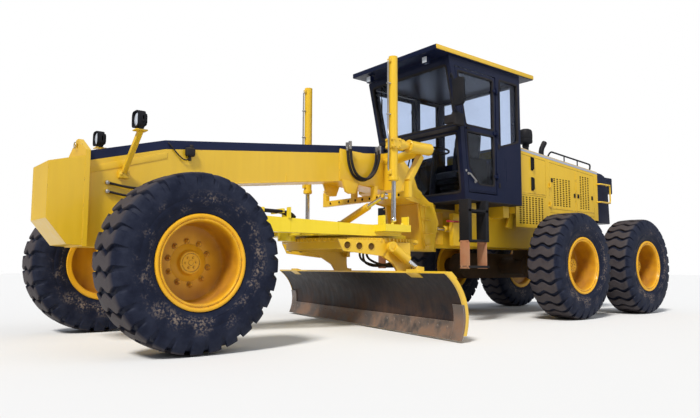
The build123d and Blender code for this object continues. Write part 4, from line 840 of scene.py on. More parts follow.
def roundOutline(outline, radius, steps=5):
    # Rounds the corners of an outline.
    made = []
    for before, here, after in zip(outline[-1:] + outline[:-1], outline, outline[1:] + outline[:1]):
        before, here, after = Vector(before), Vector(here), Vector(after)
        reach = min(radius, (here - before).length * 0.45, (after - here).length * 0.45)
        start = here + (before - here).normalized() * reach
        end = here + (after - here).normalized() * reach
        for step in range(steps + 1):
            t = step / steps
            point = start * (1 - t) ** 2 + here * 2 * t * (1 - t) + end * t * t
            made.append((point.x, point.y))
    return made


def addFrame(mesh, outline, width, low, high, place):
    # A closed frame of one width that follows an outline.
    loops = []
    inner = insetOutline(outline, width)
    for ring, depth in ((outline, low), (outline, high), (inner, high), (inner, low)):
        loops.append([mesh.verts.new(place @ Vector((a, b, depth))) for a, b in ring])
    for first, second in zip(loops, loops[1:] + loops[:1]):
        for k in range(len(outline)):
            after = (k + 1) % len(outline)
            mesh.faces.new((first[k], first[after], second[after], second[k]))


def addPerforated(mesh, surface, across, up, holes, thickness):
    # A plate on a grid of breaks, with some cells left open; surface(a, b, depth) gives each point.
    def solid(i, j):
        inside = 0 <= i < len(across) - 1 and 0 <= j < len(up) - 1
        return inside and not holes(across[i], across[i + 1], up[j], up[j + 1])

    points = {}

    def corner(i, j, depth):
        if (i, j, depth) not in points:
            points[i, j, depth] = mesh.verts.new(surface(across[i], up[j], depth))
        return points[i, j, depth]

    for i in range(len(across) - 1):
        for j in range(len(up) - 1):
            if not solid(i, j):
                continue
            quad = ((i, j), (i + 1, j), (i + 1, j + 1), (i, j + 1))
            mesh.faces.new([corner(*cell, 0) for cell in quad])
            mesh.faces.new([corner(*cell, thickness) for cell in reversed(quad)])
            for (di, dj), (p, q) in (((0, -1), (0, 1)), ((1, 0), (1, 2)), ((0, 1), (2, 3)), ((-1, 0), (3, 0))):
                if not solid(i + di, j + dj):
                    one, two = quad[p], quad[q]
                    mesh.faces.new((corner(*two, 0), corner(*one, 0), corner(*one, thickness), corner(*two, thickness)))


def slots(low, high, count, share):
    # Even runs between low and high, each open over a share of its pitch.
    pitch = (high - low) / count
    return [(low + pitch * (k + 0.5 - share / 2), low + pitch * (k + 0.5 + share / 2)) for k in range(count)]


def edgesOf(runs):
    return [edge for run in runs for edge in run]


def addTorus(mesh, centre, direction, major, minor, count=28):
    place = axisFrame(centre, direction)
    profile = [(major + minor * cos(2 * pi * k / 10), minor * sin(2 * pi * k / 10)) for k in range(10)]
    addLathe(mesh, profile, place, count, closed=True)


def addMirrored(build, name, body, material, replaces=(), smooth=35):
    # Builds one piece for each side; body and replaces may hold {side}.
    for sideName, side in sides.items():
        mesh = bmesh.new()
        build(mesh, side)
        replaced = [node.format(side=sideName) for node in replaces]
        finishPiece(mesh, name.format(side=sideName), body.format(side=sideName), material, replaced, smooth)


def addPieces(body, rows):
    # Rows of (build, name, material, nodes it replaces, smoothing angle).
    for build, name, material, *rest in rows:
        addSingle(build, name, body, material, *rest)


def addSingle(build, name, body, material, replaces=(), smooth=35):
    mesh = bmesh.new()
    build(mesh)
    return finishPiece(mesh, name, body, material, replaces, smooth)


# Headlamps on their slanted arms.

lampSettings = dict(middle=(0.216, 0.516, 1.876), half=0.070, depth=0.088, lens=0.060, arm=0.021)


def lampCorner(side):
    x, y, z = lampSettings["middle"]
    return spot(x, side * y, z)


def buildLampArms(mesh):
    s = lampSettings
    for side in (1, -1):
        head = lampCorner(side)
        foot = spot(0.216, side * 0.181, 1.470)
        shelf = head - Vector((0.01, 0, 0.084))
        along = (shelf - foot).normalized()
        across = Vector((1, 0, 0)).cross(along).normalized()
        place = fromAxes(foot, across, along.cross(across), along)
        addBox(mesh, (-s["arm"], -s["arm"], 0), (s["arm"], s["arm"], (shelf - foot).length), 0.004, place)
        addBlock(mesh, foot, (-0.045, -side * 0.02, -0.05), (0.045, side * 0.018, 0.015), 0.004)
        addBlock(mesh, shelf, (-0.045, -0.045, -0.012), (0.055, 0.045, 0.0), 0.003)
        for x in (-0.028, 0.028):
            addBolt(mesh, foot + Vector((x, side * 0.018, -0.018)), (0, side, 0), 0.018, 0.010)


def buildLampCases(mesh):
    s = lampSettings
    half, depth = s["half"], s["depth"]
    outline = roundOutline([(-half, -half), (half, -half), (half, half), (-half, half)], 0.042)
    for side in (1, -1):
        place = Matrix.Translation(lampCorner(side)) @ frontView
        addFrame(mesh, outline, 0.007, -depth * 0.1, depth / 2, place)
        addPrism(mesh, outline, -depth * 0.28, depth * 0.02, place, 0.004)
        addPrism(mesh, insetOutline(outline, 0.020), -depth / 2, -depth * 0.2, place, 0.006)
        for k in range(5):
            z = -0.04 + 0.02 * k
            addBlock(mesh, lampCorner(side), (-depth * 0.46, -0.045, z - 0.003), (-depth * 0.26, 0.045, z + 0.003))
        low = lampCorner(side) - Vector((0, 0, half))
        addBlock(mesh, low, (-0.018, -0.052, -0.012), (0.018, 0.052, 0.006), 0.002)
        addBolt(mesh, low + Vector((0, side * 0.074, 0.05)), (0, side, 0), 0.018, 0.010)


def buildLampLenses(mesh):
    s = lampSettings
    for side in (1, -1):
        place = Matrix.Translation(lampCorner(side)) @ Matrix.Rotation(pi / 2, 4, "Y")
        front, edge = s["depth"] / 2, s["lens"] + 0.002
        profile = [(0, front - 0.006), (0.030, front - 0.008), (0.050, front - 0.013),
                   (edge, front - 0.020), (edge, front - 0.040), (0, front - 0.040)]
        addLathe(mesh, profile, place, 32)


addPieces("front", (
    (buildLampArms, "headlamp_arms", yellowPaint, ["headlamps"]),
    (buildLampCases, "headlamp_cases", blackPlastic),
    (buildLampLenses, "headlamp_lenses", lampLens, [], 60),
))

# Beam: plates, ribs, welds, hoses and small fittings.

beamSettings = dict(half=0.160, weld=0.006, hose=0.0165, hoseY=0.198, hoseGap=0.042)
axleHoses = ((1.372, 0.352), (1.296, 0.350))
beamUnderside = [(-0.62, 1.440), (-1.05, 1.495), (-2.25, 1.620), (-2.86, 1.560)]
legFlank = [
    (-3.020, 1.505), (-3.180, 1.462), (-3.374, 1.437), (-3.500, 1.432), (-3.593, 1.262), (-3.558, 1.040),
    (-3.492, 0.880), (-3.398, 0.885), (-3.366, 1.080), (-3.312, 1.430), (-3.180, 1.446), (-3.022, 1.484)
]
legRibs = [(-3.318, -3.478, 1.400), (-3.343, -3.490, 1.238), (-3.368, -3.520, 1.078), (-3.396, -3.500, 0.922)]


def buildBeamPlates(mesh):
    half = beamSettings["half"]
    for side in (1, -1):
        low, high = side * half, side * (half + 0.010)
        collar = [(-2.190, 1.985), (-2.190, 1.630), (-2.300, 1.620), (-2.840, 1.570), (-2.840, 1.960), (-2.700, 1.965)]
        addFlank(mesh, collar, low, high, 0.003)
        gusset = [(-2.207, 1.640), (-2.262, 1.500), (-2.310, 1.480), (-2.400, 1.488), (-2.450, 1.610)]
        addFlank(mesh, gusset, low, side * (half + 0.030), 0.004)
        nose = [(0.500, 1.500), (0.500, 1.440), (-0.180, 1.640), (-0.180, 1.700)]
        addFlank(mesh, nose, low - side * 0.002, side * (half + 0.004), 0.001)
        addFlank(mesh, legFlank, side * 0.300, side * 0.314, 0.003)
        for front, rear, z in legRibs:
            addBox(mesh, spot(front, side * 0.312, z - 0.006), spot(rear, side * 0.350, z + 0.006), 0.002)
        addBox(mesh, spot(-3.398, side * 0.300, 0.89), spot(-3.388, side * 0.322, 1.43))
        hinge = [(-3.020, 1.560), (-3.200, 1.520), (-3.330, 1.470), (-3.360, 1.560), (-3.230, 1.640), (-3.060, 1.660)]
        addFlank(mesh, hinge, side * 0.298, side * 0.309, 0.003)
    doubler = [(-0.640, 1.437), (-1.050, 1.490), (-1.480, 1.535), (-1.480, 1.548), (-1.050, 1.503), (-0.640, 1.450)]
    addFlank(mesh, doubler, -half - 0.006, half + 0.006, 0.002)


def buildBeamWelds(mesh):
    half, radius = beamSettings["half"], beamSettings["weld"]
    for side in (1, -1):
        for first, second in zip(beamUnderside, beamUnderside[1:]):
            start, end = [spot(x, side * half, z + 0.004) for x, z in (first, second)]
            addWeld(mesh, start, end, radius)
        addWeld(mesh, spot(-2.192, side * (half + 0.002), 1.640), spot(-2.192, side * (half + 0.002), 1.975), radius)
        addWeld(mesh, spot(0.518, side * half, 0.84), spot(0.518, side * half, 1.53), radius)
        addWeld(mesh, spot(-1.482, side * half, 1.545), spot(-1.482, side * half, 1.620), radius)
        for front, rear, z in legRibs:
            addWeld(mesh, spot(front, side * 0.315, z - 0.008), spot(rear, side * 0.315, z - 0.008), 0.004)


def buildBeamHoses(mesh):
    s = beamSettings
    for offset in (0.0, s["hoseGap"]):
        loop = [
            (-2.270, 2.030), (-2.280, 1.930), (-2.292, 1.820), (-2.345, 1.700), (-2.440, 1.645), (-2.550, 1.652),
            (-2.650, 1.740), (-2.706, 1.880), (-2.712, 1.990), (-2.716, 2.045)
        ]
        addHose(mesh, [spot(x - offset * 0.2, s["hoseY"] + offset, z + offset * 0.25) for x, z in loop], s["hose"])
    cable = (
        (-0.190, 0.150, 1.790), (-0.205, 0.170, 1.770), (-0.260, 0.180, 1.700), (-0.330, 0.185, 1.640),
        (-0.380, 0.186, 1.650), (-0.386, 0.186, 1.690)
    )
    addHose(mesh, spots(cable), 0.006)
    addBox(mesh, spot(-0.345, 0.162, 1.680), spot(-0.435, 0.212, 1.765), 0.018)
    addRod(mesh, spot(-0.388, 0.186, 1.640), spot(-0.388, 0.186, 1.690), 0.014, 16, 0.003)
    addRod(mesh, spot(-0.400, 0.186, 1.755), spot(-0.405, 0.186, 1.790), 0.018, 16, 0.004)
    for z, start in axleHoses:
        path = ((0, 0.176, 0), (0.10, 0.182, 0.020), (0.25, 0.184, 0.034), (0.46, 0.176, 0.028))
        addHose(mesh, [spot(start - back, y, z - drop) for back, y, drop in path], 0.011)


def buildBeamFittings(mesh):
    s = beamSettings
    for x in (-2.271, -2.716):
        for offset in (0.0, s["hoseGap"]):
            at = spot(x - offset * 0.2, s["hoseY"] + offset, 2.030 + offset * 0.25)
            addPin(mesh, at, (0, 0, -0.03), (0, 0, 0.028), 0.021, 6, 0.003)
            addPin(mesh, at, (0, 0, -0.065), (0, 0, -0.03), 0.0185, 16, 0.002)
    for z, start in axleHoses:
        at = spot(start, 0.176, z)
        joint = [(0, -0.020), (0.014, -0.015), (0.020, 0.0), (0.014, 0.015), (0, 0.020)]
        addLathe(mesh, joint, axisFrame(at, (1, 0, 0)), 16)
    addBox(mesh, spot(-2.55, 0.160, 1.66), spot(-2.50, 0.250, 1.672), 0.003)
    addTorus(mesh, spot(0.56 + 0.021, 0, 1.69), (1, 0, 0), 0.026, 0.004)


def buildNeckCover(mesh):
    outline = [
        (-3.060, 1.935), (-3.120, 1.905), (-3.235, 1.800), (-3.350, 1.585), (-3.300, 1.560), (-3.190, 1.760),
        (-3.050, 1.890)
    ]
    addFlank(mesh, outline, -0.205, 0.205, 0.012)


addPieces("front", (
    (buildBeamPlates, "beam_plates_and_ribs", yellowPaint),
    (buildBeamWelds, "beam_welds", yellowPaint),
    (buildBeamHoses, "beam_hoses", blackRubber, [], 60),
    (buildBeamFittings, "beam_fittings", zincSteel),
    (buildNeckCover, "gooseneck_cover", blackPlastic),
))

# Link bar with its row of holes, drawn as dark discs of painted shade, and the caps and lids on the lift arms' ends.

linkSettings = dict(
    face=-2.665, holes=(-0.62, -0.44, -0.26, -0.13, 0.0, 0.13, 0.26, 0.62), height=1.455, arm=0.785, armHeight=1.975
)


def linkAxis(y):
    return axisFrame(spot(linkSettings["face"], y, linkSettings["height"]), (1, 0, 0))


def buildLinkHoleShade(mesh):
    # Dark discs on the bar's face in place of holes: painted shade.
    for y in linkSettings["holes"]:
        addLathe(mesh, [(0, 0.0006), (0.017, 0.0006), (0.017, -0.004), (0, -0.004)], linkAxis(y), 20)


def buildLinkPlates(mesh):
    s = linkSettings
    for y in s["holes"]:
        ring = [(0.0175, -0.002), (0.0175, 0.004), (0.028, 0.004), (0.030, 0.002), (0.030, -0.002)]
        addLathe(mesh, ring, linkAxis(y), 24, closed=True)
    for side in (1, -1):
        cap = spot(-2.675, side * s["arm"], s["armHeight"])
        for angle in (35, 125, 215, 305):
            out = Vector((0, cos(radians(angle)), sin(radians(angle))))
            addBolt(mesh, cap + Vector((0.026, 0, 0)) + out * 0.052, (1, 0, 0), 0.018, 0.010)
        ring = [(0.045, 0.0), (0.070, 0.0), (0.072, 0.004), (0.072, 0.020), (0.068, 0.024), (0.045, 0.024)]
        addLathe(mesh, ring, axisFrame(cap, (1, 0, 0)), 32, closed=True)
        rear = spot(-2.985, side * s["arm"], s["armHeight"])
        lid = [(0, -0.010), (0.052, -0.010), (0.064, -0.004), (0.068, 0.004), (0.068, 0.016), (0, 0.016)]
        addLathe(mesh, lid, axisFrame(rear, (1, 0, 0)), 32)


addPieces("front", ((buildLinkHoleShade, "link_bar_hole_shade", paintedShadeBlack), (buildLinkPlates, "link_bar_rings", yellowPaint)))

# Lift cylinders: head cap, gland, bolted yoke and side pipe.

liftSettings = dict(mouth=1.575, pivot=1.975)


def liftAxis(side):
    pivot = pivotOf("lift_barrel_pivot_left")
    return Vector((pivot.x, side * pivot.y, 0))


def buildLiftTrim(mesh, side):
    s = liftSettings
    at = liftAxis(side)
    head = [(0.0495, 0.0), (0.0545, 0.002), (0.0545, 0.040), (0.0500, 0.046), (0.0495, 0.046)]
    addLathe(mesh, head, Matrix.Translation(at + upward * (s["mouth"] + 0.001)), 32, closed=True)
    gland = [(0.0265, -0.006), (0.036, -0.006), (0.044, 0.0005), (0.0265, 0.0005)]
    addLathe(mesh, gland, Matrix.Translation(at + upward * s["mouth"]), 32, closed=True)
    for y in (-1, 1):
        for z in (-1, 1):
            addBolt(mesh, at + Vector((0.056, y * 0.044, s["pivot"] + z * 0.038)), (1, 0, 0), 0.024, 0.014)
            addBolt(mesh, at + Vector((z * 0.036, side * 0.062, s["pivot"] + y * 0.036)), (0, side, 0), 0.020, 0.012)
    addBlock(mesh, at, (0.040, -0.024, 2.86), (0.066, 0.024, 2.90), 0.004)
    addBlock(mesh, at, (0.040, -0.024, 1.640), (0.070, 0.024, 1.690), 0.004)


def buildLiftPipe(mesh, side):
    at = liftAxis(side)
    path = [
        (0.058, 0.0, 2.885), (0.076, 0.0, 2.868), (0.078, 0.0, 2.500), (0.078, 0.0, 2.120),
        (0.090, side * 0.020, 2.060), (0.092, side * 0.022, 1.900), (0.078, 0.004, 1.820), (0.078, 0.0, 1.700),
        (0.060, 0.0, 1.672)
    ]
    addBentBar(mesh, [at + Vector(point) for point in path], 0.0085, 0.03)
    for z in (2.62, 2.28):
        addBlock(mesh, at, (0.040, -0.016, z), (0.088, 0.016, z + 0.014), 0.003)


addMirrored(buildLiftTrim, "lift_cylinder_trim_{side}", "lift_barrel_{side}", yellowPaint)
addMirrored(buildLiftPipe, "lift_cylinder_pipe_{side}", "lift_barrel_{side}", zincSteel, smooth=60)
print("front frame pieces made")

# Cab: roof, door frames with their panes, seals and handles, trim and wipers.

cabSettings = dict(
    half=0.725, knee=(-3.590, 2.330), low=(-3.670, 1.470), top=(-3.400, 3.150), rear=-4.285,
    roofFront=-3.140, roofRear=-5.080, roofHalf=0.760, roofLow=3.200, roofTop=3.260,
    doorLow=1.572, doorTop=3.073, doorIn=0.687, doorOut=0.722, hinge=0.741, hinges=(1.80, 2.35, 2.90),
    paneIn=0.702, paneOut=0.707, roofLamp=(-3.235, 0.510, 3.142), ribs=(-0.5, -0.25, 0.0, 0.25, 0.5),
)


def pillarX(z):
    s = cabSettings
    low, high = (s["low"], s["knee"]) if z < s["knee"][1] else (s["knee"], s["top"])
    return low[0] + (z - low[1]) / (high[1] - low[1]) * (high[0] - low[0])


def addPlate(mesh, outline, holes, low, high, place):
    # A flat plate with holes through it, closed all round.
    walls = []
    for depth in (low, high):
        loops = [[mesh.verts.new(place @ Vector((a, b, depth))) for a, b in loop] for loop in [outline, *holes]]
        edges = [mesh.edges.new((loop[k - 1], loop[k])) for loop in loops for k in range(len(loop))]
        bmesh.ops.triangle_fill(mesh, use_beauty=True, edges=edges)
        walls.append(loops)
    for near, far in zip(*walls):
        for k in range(len(near)):
            mesh.faces.new((near[k - 1], near[k], far[k], far[k - 1]))


def buildRoofShell(mesh):
    s = cabSettings
    front, rear, low, top = s["roofFront"], s["roofRear"], s["roofLow"], s["roofTop"]
    outline = [(front - 0.004, top - 0.006), (front - 0.016, top), (rear + 0.012, top),
               (rear, top - 0.010), (rear, low + 0.006), (front - 0.012, low + 0.006)]
    addFlank(mesh, outline, -s["roofHalf"], s["roofHalf"], 0.004)
    front, rear = front - 0.10, rear + 0.1
    rib = [(front, top - 0.006), (front, top - 0.0005), (rear, top - 0.0005), (rear, top - 0.006)]
    for y in s["ribs"]:
        addFlank(mesh, rib, y - 0.03, y + 0.03)


def buildRoofUnderside(mesh):
    s = cabSettings
    front, rear, low, top = s["roofFront"], s["roofRear"], s["roofLow"], s["roofTop"]
    half = s["roofHalf"] - 0.004
    addBox(mesh, spot(front - 0.012, -half, low - 0.003), spot(front, half, top - 0.004), 0.003)
    half -= 0.002
    addBox(mesh, spot(rear + 0.008, -half, low - 0.004), spot(front - 0.010, half, low + 0.010), 0.002)
    addBox(mesh, spot(-4.800, -s["half"] + 0.002, 3.149), spot(-3.402, s["half"] - 0.002, s["roofLow"]), 0.002)
    x, y, z = s["roofLamp"]
    for side in (1, -1):
        at = spot(x, side * y, z)
        addBlock(mesh, at, (-0.03, -0.045, -0.045), (0.028, 0.045, 0.042), 0.010)
        addBlock(mesh, at, (-0.012, -0.012, 0.03), (0.012, 0.012, 0.062))


def buildRoofLenses(mesh):
    x, y, z = cabSettings["roofLamp"]
    for side in (1, -1):
        at = spot(x + 0.026, side * y, z)
        addBlock(mesh, at, (0, -0.036, -0.036), (0.006, 0.036, 0.034), 0.004)


def doorShape():
    # The door's outline and the outlines of its two windows.
    s = cabSettings
    low, high, bend, rear = s["doorLow"], s["doorTop"], s["knee"][1], s["rear"] + 0.012

    def edge(z, inset=0.0):
        return pillarX(z) - 0.087 - inset, z

    outline = [edge(low), edge(bend), edge(high), (rear, high), (rear, low)]
    upper = [edge(2.385, 0.036), edge(3.035, 0.036), (-4.235, 3.035), (-4.235, 2.385)]
    lower = [edge(2.312, 0.036), edge(1.880, 0.036), (-3.935, 1.672), (-4.235, 1.672), (-4.235, 2.312)]
    return shifted(outline), [roundOutline(shifted(window), 0.035) for window in (upper, lower)]


def buildDoor(mesh, side):
    s = cabSettings
    outline, windows = doorShape()
    addPlate(mesh, outline, windows, side * s["doorIn"], side * s["doorOut"], sideView)
    for z in s["hinges"]:
        pin = spot(s["rear"], side * s["hinge"], z)
        addPin(mesh, pin, (0, 0, -0.025), (0, 0, 0.025), 0.014, 16, 0.002)
        addBlock(mesh, pin, (0.008, -side * 0.004, -0.02), (0.060, -side * 0.020, 0.02), 0.002)
    for z in (1.600, 1.585):
        addBox(mesh, spot(-3.745, side * s["doorOut"], z), spot(-4.265, side * (s["doorOut"] + 0.003), z + 0.004))


def buildDoorSeals(mesh, side):
    s = cabSettings
    low, high = side * (s["doorIn"] - 0.002), side * (s["doorOut"] + 0.0035)
    for window in doorShape()[1]:
        addFrame(mesh, insetOutline(window, -0.008), 0.020, low, high, sideView)
    low, high = side * (s["doorOut"] - 0.002), side * (s["doorOut"] + 0.016)
    addBox(mesh, spot(-3.760, low, 2.335), spot(-3.700, high, 2.360), 0.003)


def buildDoorPanes(mesh, side):
    low, high = side * cabSettings["paneIn"], side * cabSettings["paneOut"]
    for window in doorShape()[1]:
        addPrism(mesh, insetOutline(window, 0.002), low, high, sideView)


def buildDoorHandle(mesh, side):
    start, end = spot(-3.735, side * 0.748, 1.790), spot(-3.860, side * 0.748, 1.700)
    along = (end - start).normalized()
    inward = Vector((0, -side * 0.028, 0))
    addBentBar(mesh, [start + inward, start, end, end + inward], 0.0085, 0.012)
    for at in (start, end):
        addPin(mesh, at, (0, -side * 0.029, 0), (0, -side * 0.020, 0), 0.017, 16, 0.002)
    addPin(mesh, start - along * 0.055, (0, -side * 0.028, 0), (0, -side * 0.018, 0), 0.014, 16, 0.002)


def buildCabTrim(mesh):
    s = cabSettings
    quarter = roundOutline(shifted([(-4.360, 2.190), (-4.360, 3.070), (-4.745, 3.070), (-4.745, 2.300)]), 0.03)
    for side in (1, -1):
        low, high = side * (s["half"] - 0.030), side * (s["half"] + 0.003)
        addFrame(mesh, insetOutline(quarter, -0.010), 0.022, low, high, sideView)
        for z in (1.66, 2.16):
            addBox(mesh, spot(-4.345, side * s["half"], z), spot(-4.315, side * (s["half"] + 0.010), z + 0.06), 0.003)
    box = spot(-3.520, s["half"], 2.420)
    addBlock(mesh, box, (-0.085, -0.004, -0.075), (0.085, 0.055, 0.075), 0.012)
    addBlock(mesh, box, (0.05, -0.10, -0.055), (0.10, 0.03, 0.05), 0.010)
    half = 0.665
    for low, high in ((1.560, 2.285), (2.385, 3.090)):
        corners = [(-half, low), (half, low), (half, high), (-half, high)]
        lean = Matrix.Identity(4)
        slope = (pillarX(high) - pillarX(low)) / (high - low)
        lean[0][2] = slope
        lean[0][3] = axleX + pillarX(low) - slope * low
        addFrame(mesh, insetOutline(roundOutline(corners, 0.05), -0.008), 0.024, -0.030, 0.004, lean @ frontView)
    addBox(mesh, spot(-3.592, -0.700, 2.312), spot(-3.570, 0.700, 2.362), 0.006)
    addBox(mesh, spot(-3.66, -s["half"] - 0.006, 1.462), spot(-4.800, s["half"] + 0.006, 1.474), 0.004)


wiperSettings = dict(arms=(((-0.47, 3.060), (-0.58, 2.640)), ((-0.35, 1.600), (-0.15, 2.060))), off=0.016, half=0.19)


def buildWipers(mesh):
    s = wiperSettings
    for arm in s["arms"]:
        one, two = [spot(pillarX(z) + s["off"], y, z) for y, z in arm]
        addPin(mesh, one, (-0.02, 0, 0), (0.008, 0, 0), 0.014, 16, 0.002)
        addRod(mesh, one, two, 0.005, 8, 0.001)
        middle = one.lerp(two, 0.78)
        ends = [middle + sign * (two - one).normalized() * s["half"] for sign in (1, -1)]
        for end in ends:
            end.x = axleX + pillarX(end.z) + 0.006
        addRod(mesh, ends[0], ends[1], 0.006, 8, 0.001)


addPieces("rear", (
    (buildRoofShell, "roof_shell", yellowPaint, ["cab_roof"]),
    (buildRoofUnderside, "roof_underside", navyPaint),
    (buildRoofLenses, "roof_lamp_lenses", lampLens),
    (buildCabTrim, "cab_trim", blackRubber),
    (buildWipers, "wipers", blackPlastic),
))
addMirrored(buildDoor, "door_frame_{side}", "cab_door_{side}", navyPaint, ["cab_door_{side}"])
addMirrored(buildDoorSeals, "door_seals_{side}", "cab_door_{side}", blackRubber)
addMirrored(buildDoorPanes, "door_panes_{side}", "cab_door_{side}", cabGlass)
addMirrored(buildDoorHandle, "door_handle_{side}", "cab_door_{side}", zincSteel)

# Seat, its base, steering column, consoles and pedals.

seatSettings = dict(x=-4.330, cushionLow=1.820)


def addPad(mesh, half, crown, seams, place, bulge=0.03):
    # A padded form: rounded corners, a crowned face on local z and sewn grooves across it.
    before = set(mesh.verts)
    made = bmesh.ops.create_cube(mesh, size=2.0)["verts"]
    edges = list({edge for vert in made for edge in vert.link_edges})
    bmesh.ops.subdivide_edges(mesh, edges=edges, cuts=25, use_grid_fill=True)
    verts = [vert for vert in mesh.verts if vert not in before]
    for vert in verts:
        p = vert.co.copy()
        size = sum(abs(value) ** 7 for value in p) ** (1 / 7)
        q = p / size
        x, y, z = q.x * half[0], q.y * half[1], q.z * half[2]
        pull = 1 + bulge * (1 - abs(p.x * p.y)) * (1 - 0.4 * p.z * p.z)
        x, y = x * pull, y * pull
        if z > 0:
            z += crown * (1 - p.x ** 4) * (1 - p.y ** 4)
            for axis, at in seams:
                away = ((p.x if axis == 0 else p.y) - at) / 0.045
                z -= 0.012 * max(0.0, 1 - away * away) ** 0.5 if abs(away) < 1 else 0.0
        vert.co = place @ Vector((x, y, z))


def buildSeatCushion(mesh):
    s = seatSettings
    place = Matrix.Translation(spot(s["x"], 0, s["cushionLow"] + 0.055))
    addPad(mesh, (0.228, 0.222, 0.052), 0.018, [(1, -0.58), (1, 0.58), (0, -0.1), (0, 0.42)], place)


def buildSeatBack(mesh):
    s = seatSettings
    lean = Matrix.Rotation(radians(-9), 4, "Y") @ Matrix.Rotation(pi / 2, 4, "Y")
    place = Matrix.Translation(spot(s["x"] - 0.235, 0, 2.240)) @ lean
    addPad(mesh, (0.300, 0.212, 0.038), 0.014, [(1, -0.58), (1, 0.58), (0, -0.42), (0, 0.08), (0, 0.5)], place)


def buildSeatBase(mesh):
    s = seatSettings
    x = axleX + s["x"]
    addBox(mesh, (x - 0.15, -0.17, 1.492), (x + 0.15, 0.17, 1.56), 0.006)
    for k in range(6):
        z = 1.560 + 0.036 * k
        inset = 0.014 * (k % 2)
        addBox(mesh, (x - 0.14 + inset, -0.16 + inset, z), (x + 0.14 - inset, 0.16 - inset, z + 0.038), 0.006)
    addBox(mesh, (x - 0.20, -0.20, 1.775), (x + 0.20, 0.20, 1.822), 0.008)
    addBox(mesh, (x - 0.280, -0.10, 1.79), (x - 0.245, 0.10, 2.15), 0.006)


def buildControls(mesh):
    x = axleX
    addBox(mesh, (x - 3.93, -0.07, 1.490), (x - 3.79, 0.07, 1.504), 0.003)
    foot, hub = Vector((x - 3.860, 0, 1.498)), Vector((x - 3.930, 0, 2.190))
    addRod(mesh, foot, hub, 0.042, 24, 0.004, endRadius=0.030)
    way = (hub - foot).normalized()
    addTorus(mesh, hub, way, 0.182, 0.013, 40)
    addRod(mesh, hub - way * 0.025, hub + way * 0.012, 0.040, 24, 0.008)
    side = way.orthogonal().normalized()
    for k in range(3):
        out = (Matrix.Rotation(2 * pi * k / 3, 3, way) @ side)
        addRod(mesh, hub + out * 0.03, hub + out * 0.180, 0.011, 10, 0.002)
    for side in (1, -1):
        low, high = side * 0.300, side * 0.420
        outline = [
            (-4.480, 1.492), (-4.000, 1.492), (-4.020, 1.640), (-4.110, 1.720), (-4.060, 2.020), (-4.090, 2.060),
            (-4.480, 2.060)
        ]
        addFlank(mesh, outline, low, high, 0.010)
        addBox(mesh, (x - 4.47, side * 0.305, 2.058), (x - 4.22, side * 0.415, 2.090), 0.012)
        for k in range(4):
            at = Vector((x - 4.100 - 0.030 * (k % 2), side * (0.318 + 0.028 * k), 2.050))
            addPin(mesh, at, (0, 0, 0), (0.010, 0, 0.045), 0.005, 8, 0.001)
            knob = [(0, 0), (0.009, 0.004), (0.011, 0.014), (0.008, 0.022), (0, 0.025)]
            addLathe(mesh, knob, axisFrame(at + Vector((0.010, 0, 0.040)), (0.2, 0, 1)), 12)
    addBox(mesh, (x - 3.80, -0.18, 1.492), (x - 3.72, -0.08, 1.53), 0.008)
    addBox(mesh, (x - 3.80, 0.08, 1.492), (x - 3.72, 0.18, 1.53), 0.008)


addSingle(buildSeatCushion, "seat_cushion", "rear", seatCloth, ["cab_interior"], smooth=60)
addSingle(buildSeatBack, "seat_back", "rear", seatCloth, smooth=60)
addPieces("rear", ((buildSeatBase, "seat_base", blackPlastic), (buildControls, "cab_controls", blackPlastic)))

# Ladders with their straps, and the mirror.

stepSettings = dict(low=0.640, top=1.470, inner=0.652, outer=0.800, strap=0.985)


def buildLadders(mesh):
    s = stepSettings
    columns, rows = slots(-3.990, -3.650, 8, 0.62), slots(0.665, 0.785, 3, 0.62)
    across = [-4.008, -3.992, *edgesOf(columns), -3.632]
    up = [s["inner"] - 0.006, *edgesOf(rows), s["outer"] - 0.004]
    starts = [[low for low, high in pairs] for pairs in (columns, rows)]
    for side in (1, -1):
        for front in (-3.630, -3.950):
            top = [(front, s["top"]), (front - 0.060, s["top"]), (front - 0.060, s["strap"]), (front, s["strap"])]
            addFlank(mesh, top, side * s["inner"], side * s["outer"], 0.005)
        for z in (0.650, 0.960, 1.320):
            surface = lambda a, b, depth: spot(a, side * b, z + 0.026 - depth)
            addPerforated(mesh, surface, across, up, lambda a, b, c, d: a in starts[0] and c in starts[1], 0.006)
            for y in (s["inner"] - 0.008, s["outer"] - 0.008):
                addBox(mesh, spot(-4.008, side * y, z + 0.002), spot(-3.632, side * (y + 0.008), z + 0.030), 0.002)


def buildStraps(mesh):
    s = stepSettings
    for side in (1, -1):
        for front in (-3.632, -3.952):
            low, high = side * (s["inner"] + 0.004), side * (s["outer"] - 0.003)
            addBox(
                mesh, spot(front - 0.002, low, s["low"] + 0.004), spot(front - 0.016, high, s["strap"] + 0.03), 0.003
            )
            for y in (s["inner"] + 0.03, s["outer"] - 0.03):
                for z in (s["strap"] - 0.02, 0.665):
                    addBolt(mesh, spot(front - 0.002, side * y, z), (1, 0, 0), 0.018, 0.008)


mirrorSettings = dict(middle=(-3.355, 0.910, 2.695), half=(0.078, 0.163), corner=0.045, lip=0.007)


def mirrorShape(inset, corner):
    width, height = [half - inset for half in mirrorSettings["half"]]
    outline = [(-width, -height), (width, -height), (width, height), (-width, height)]
    return Matrix.Translation(spot(*mirrorSettings["middle"])) @ frontView, roundOutline(outline, corner)


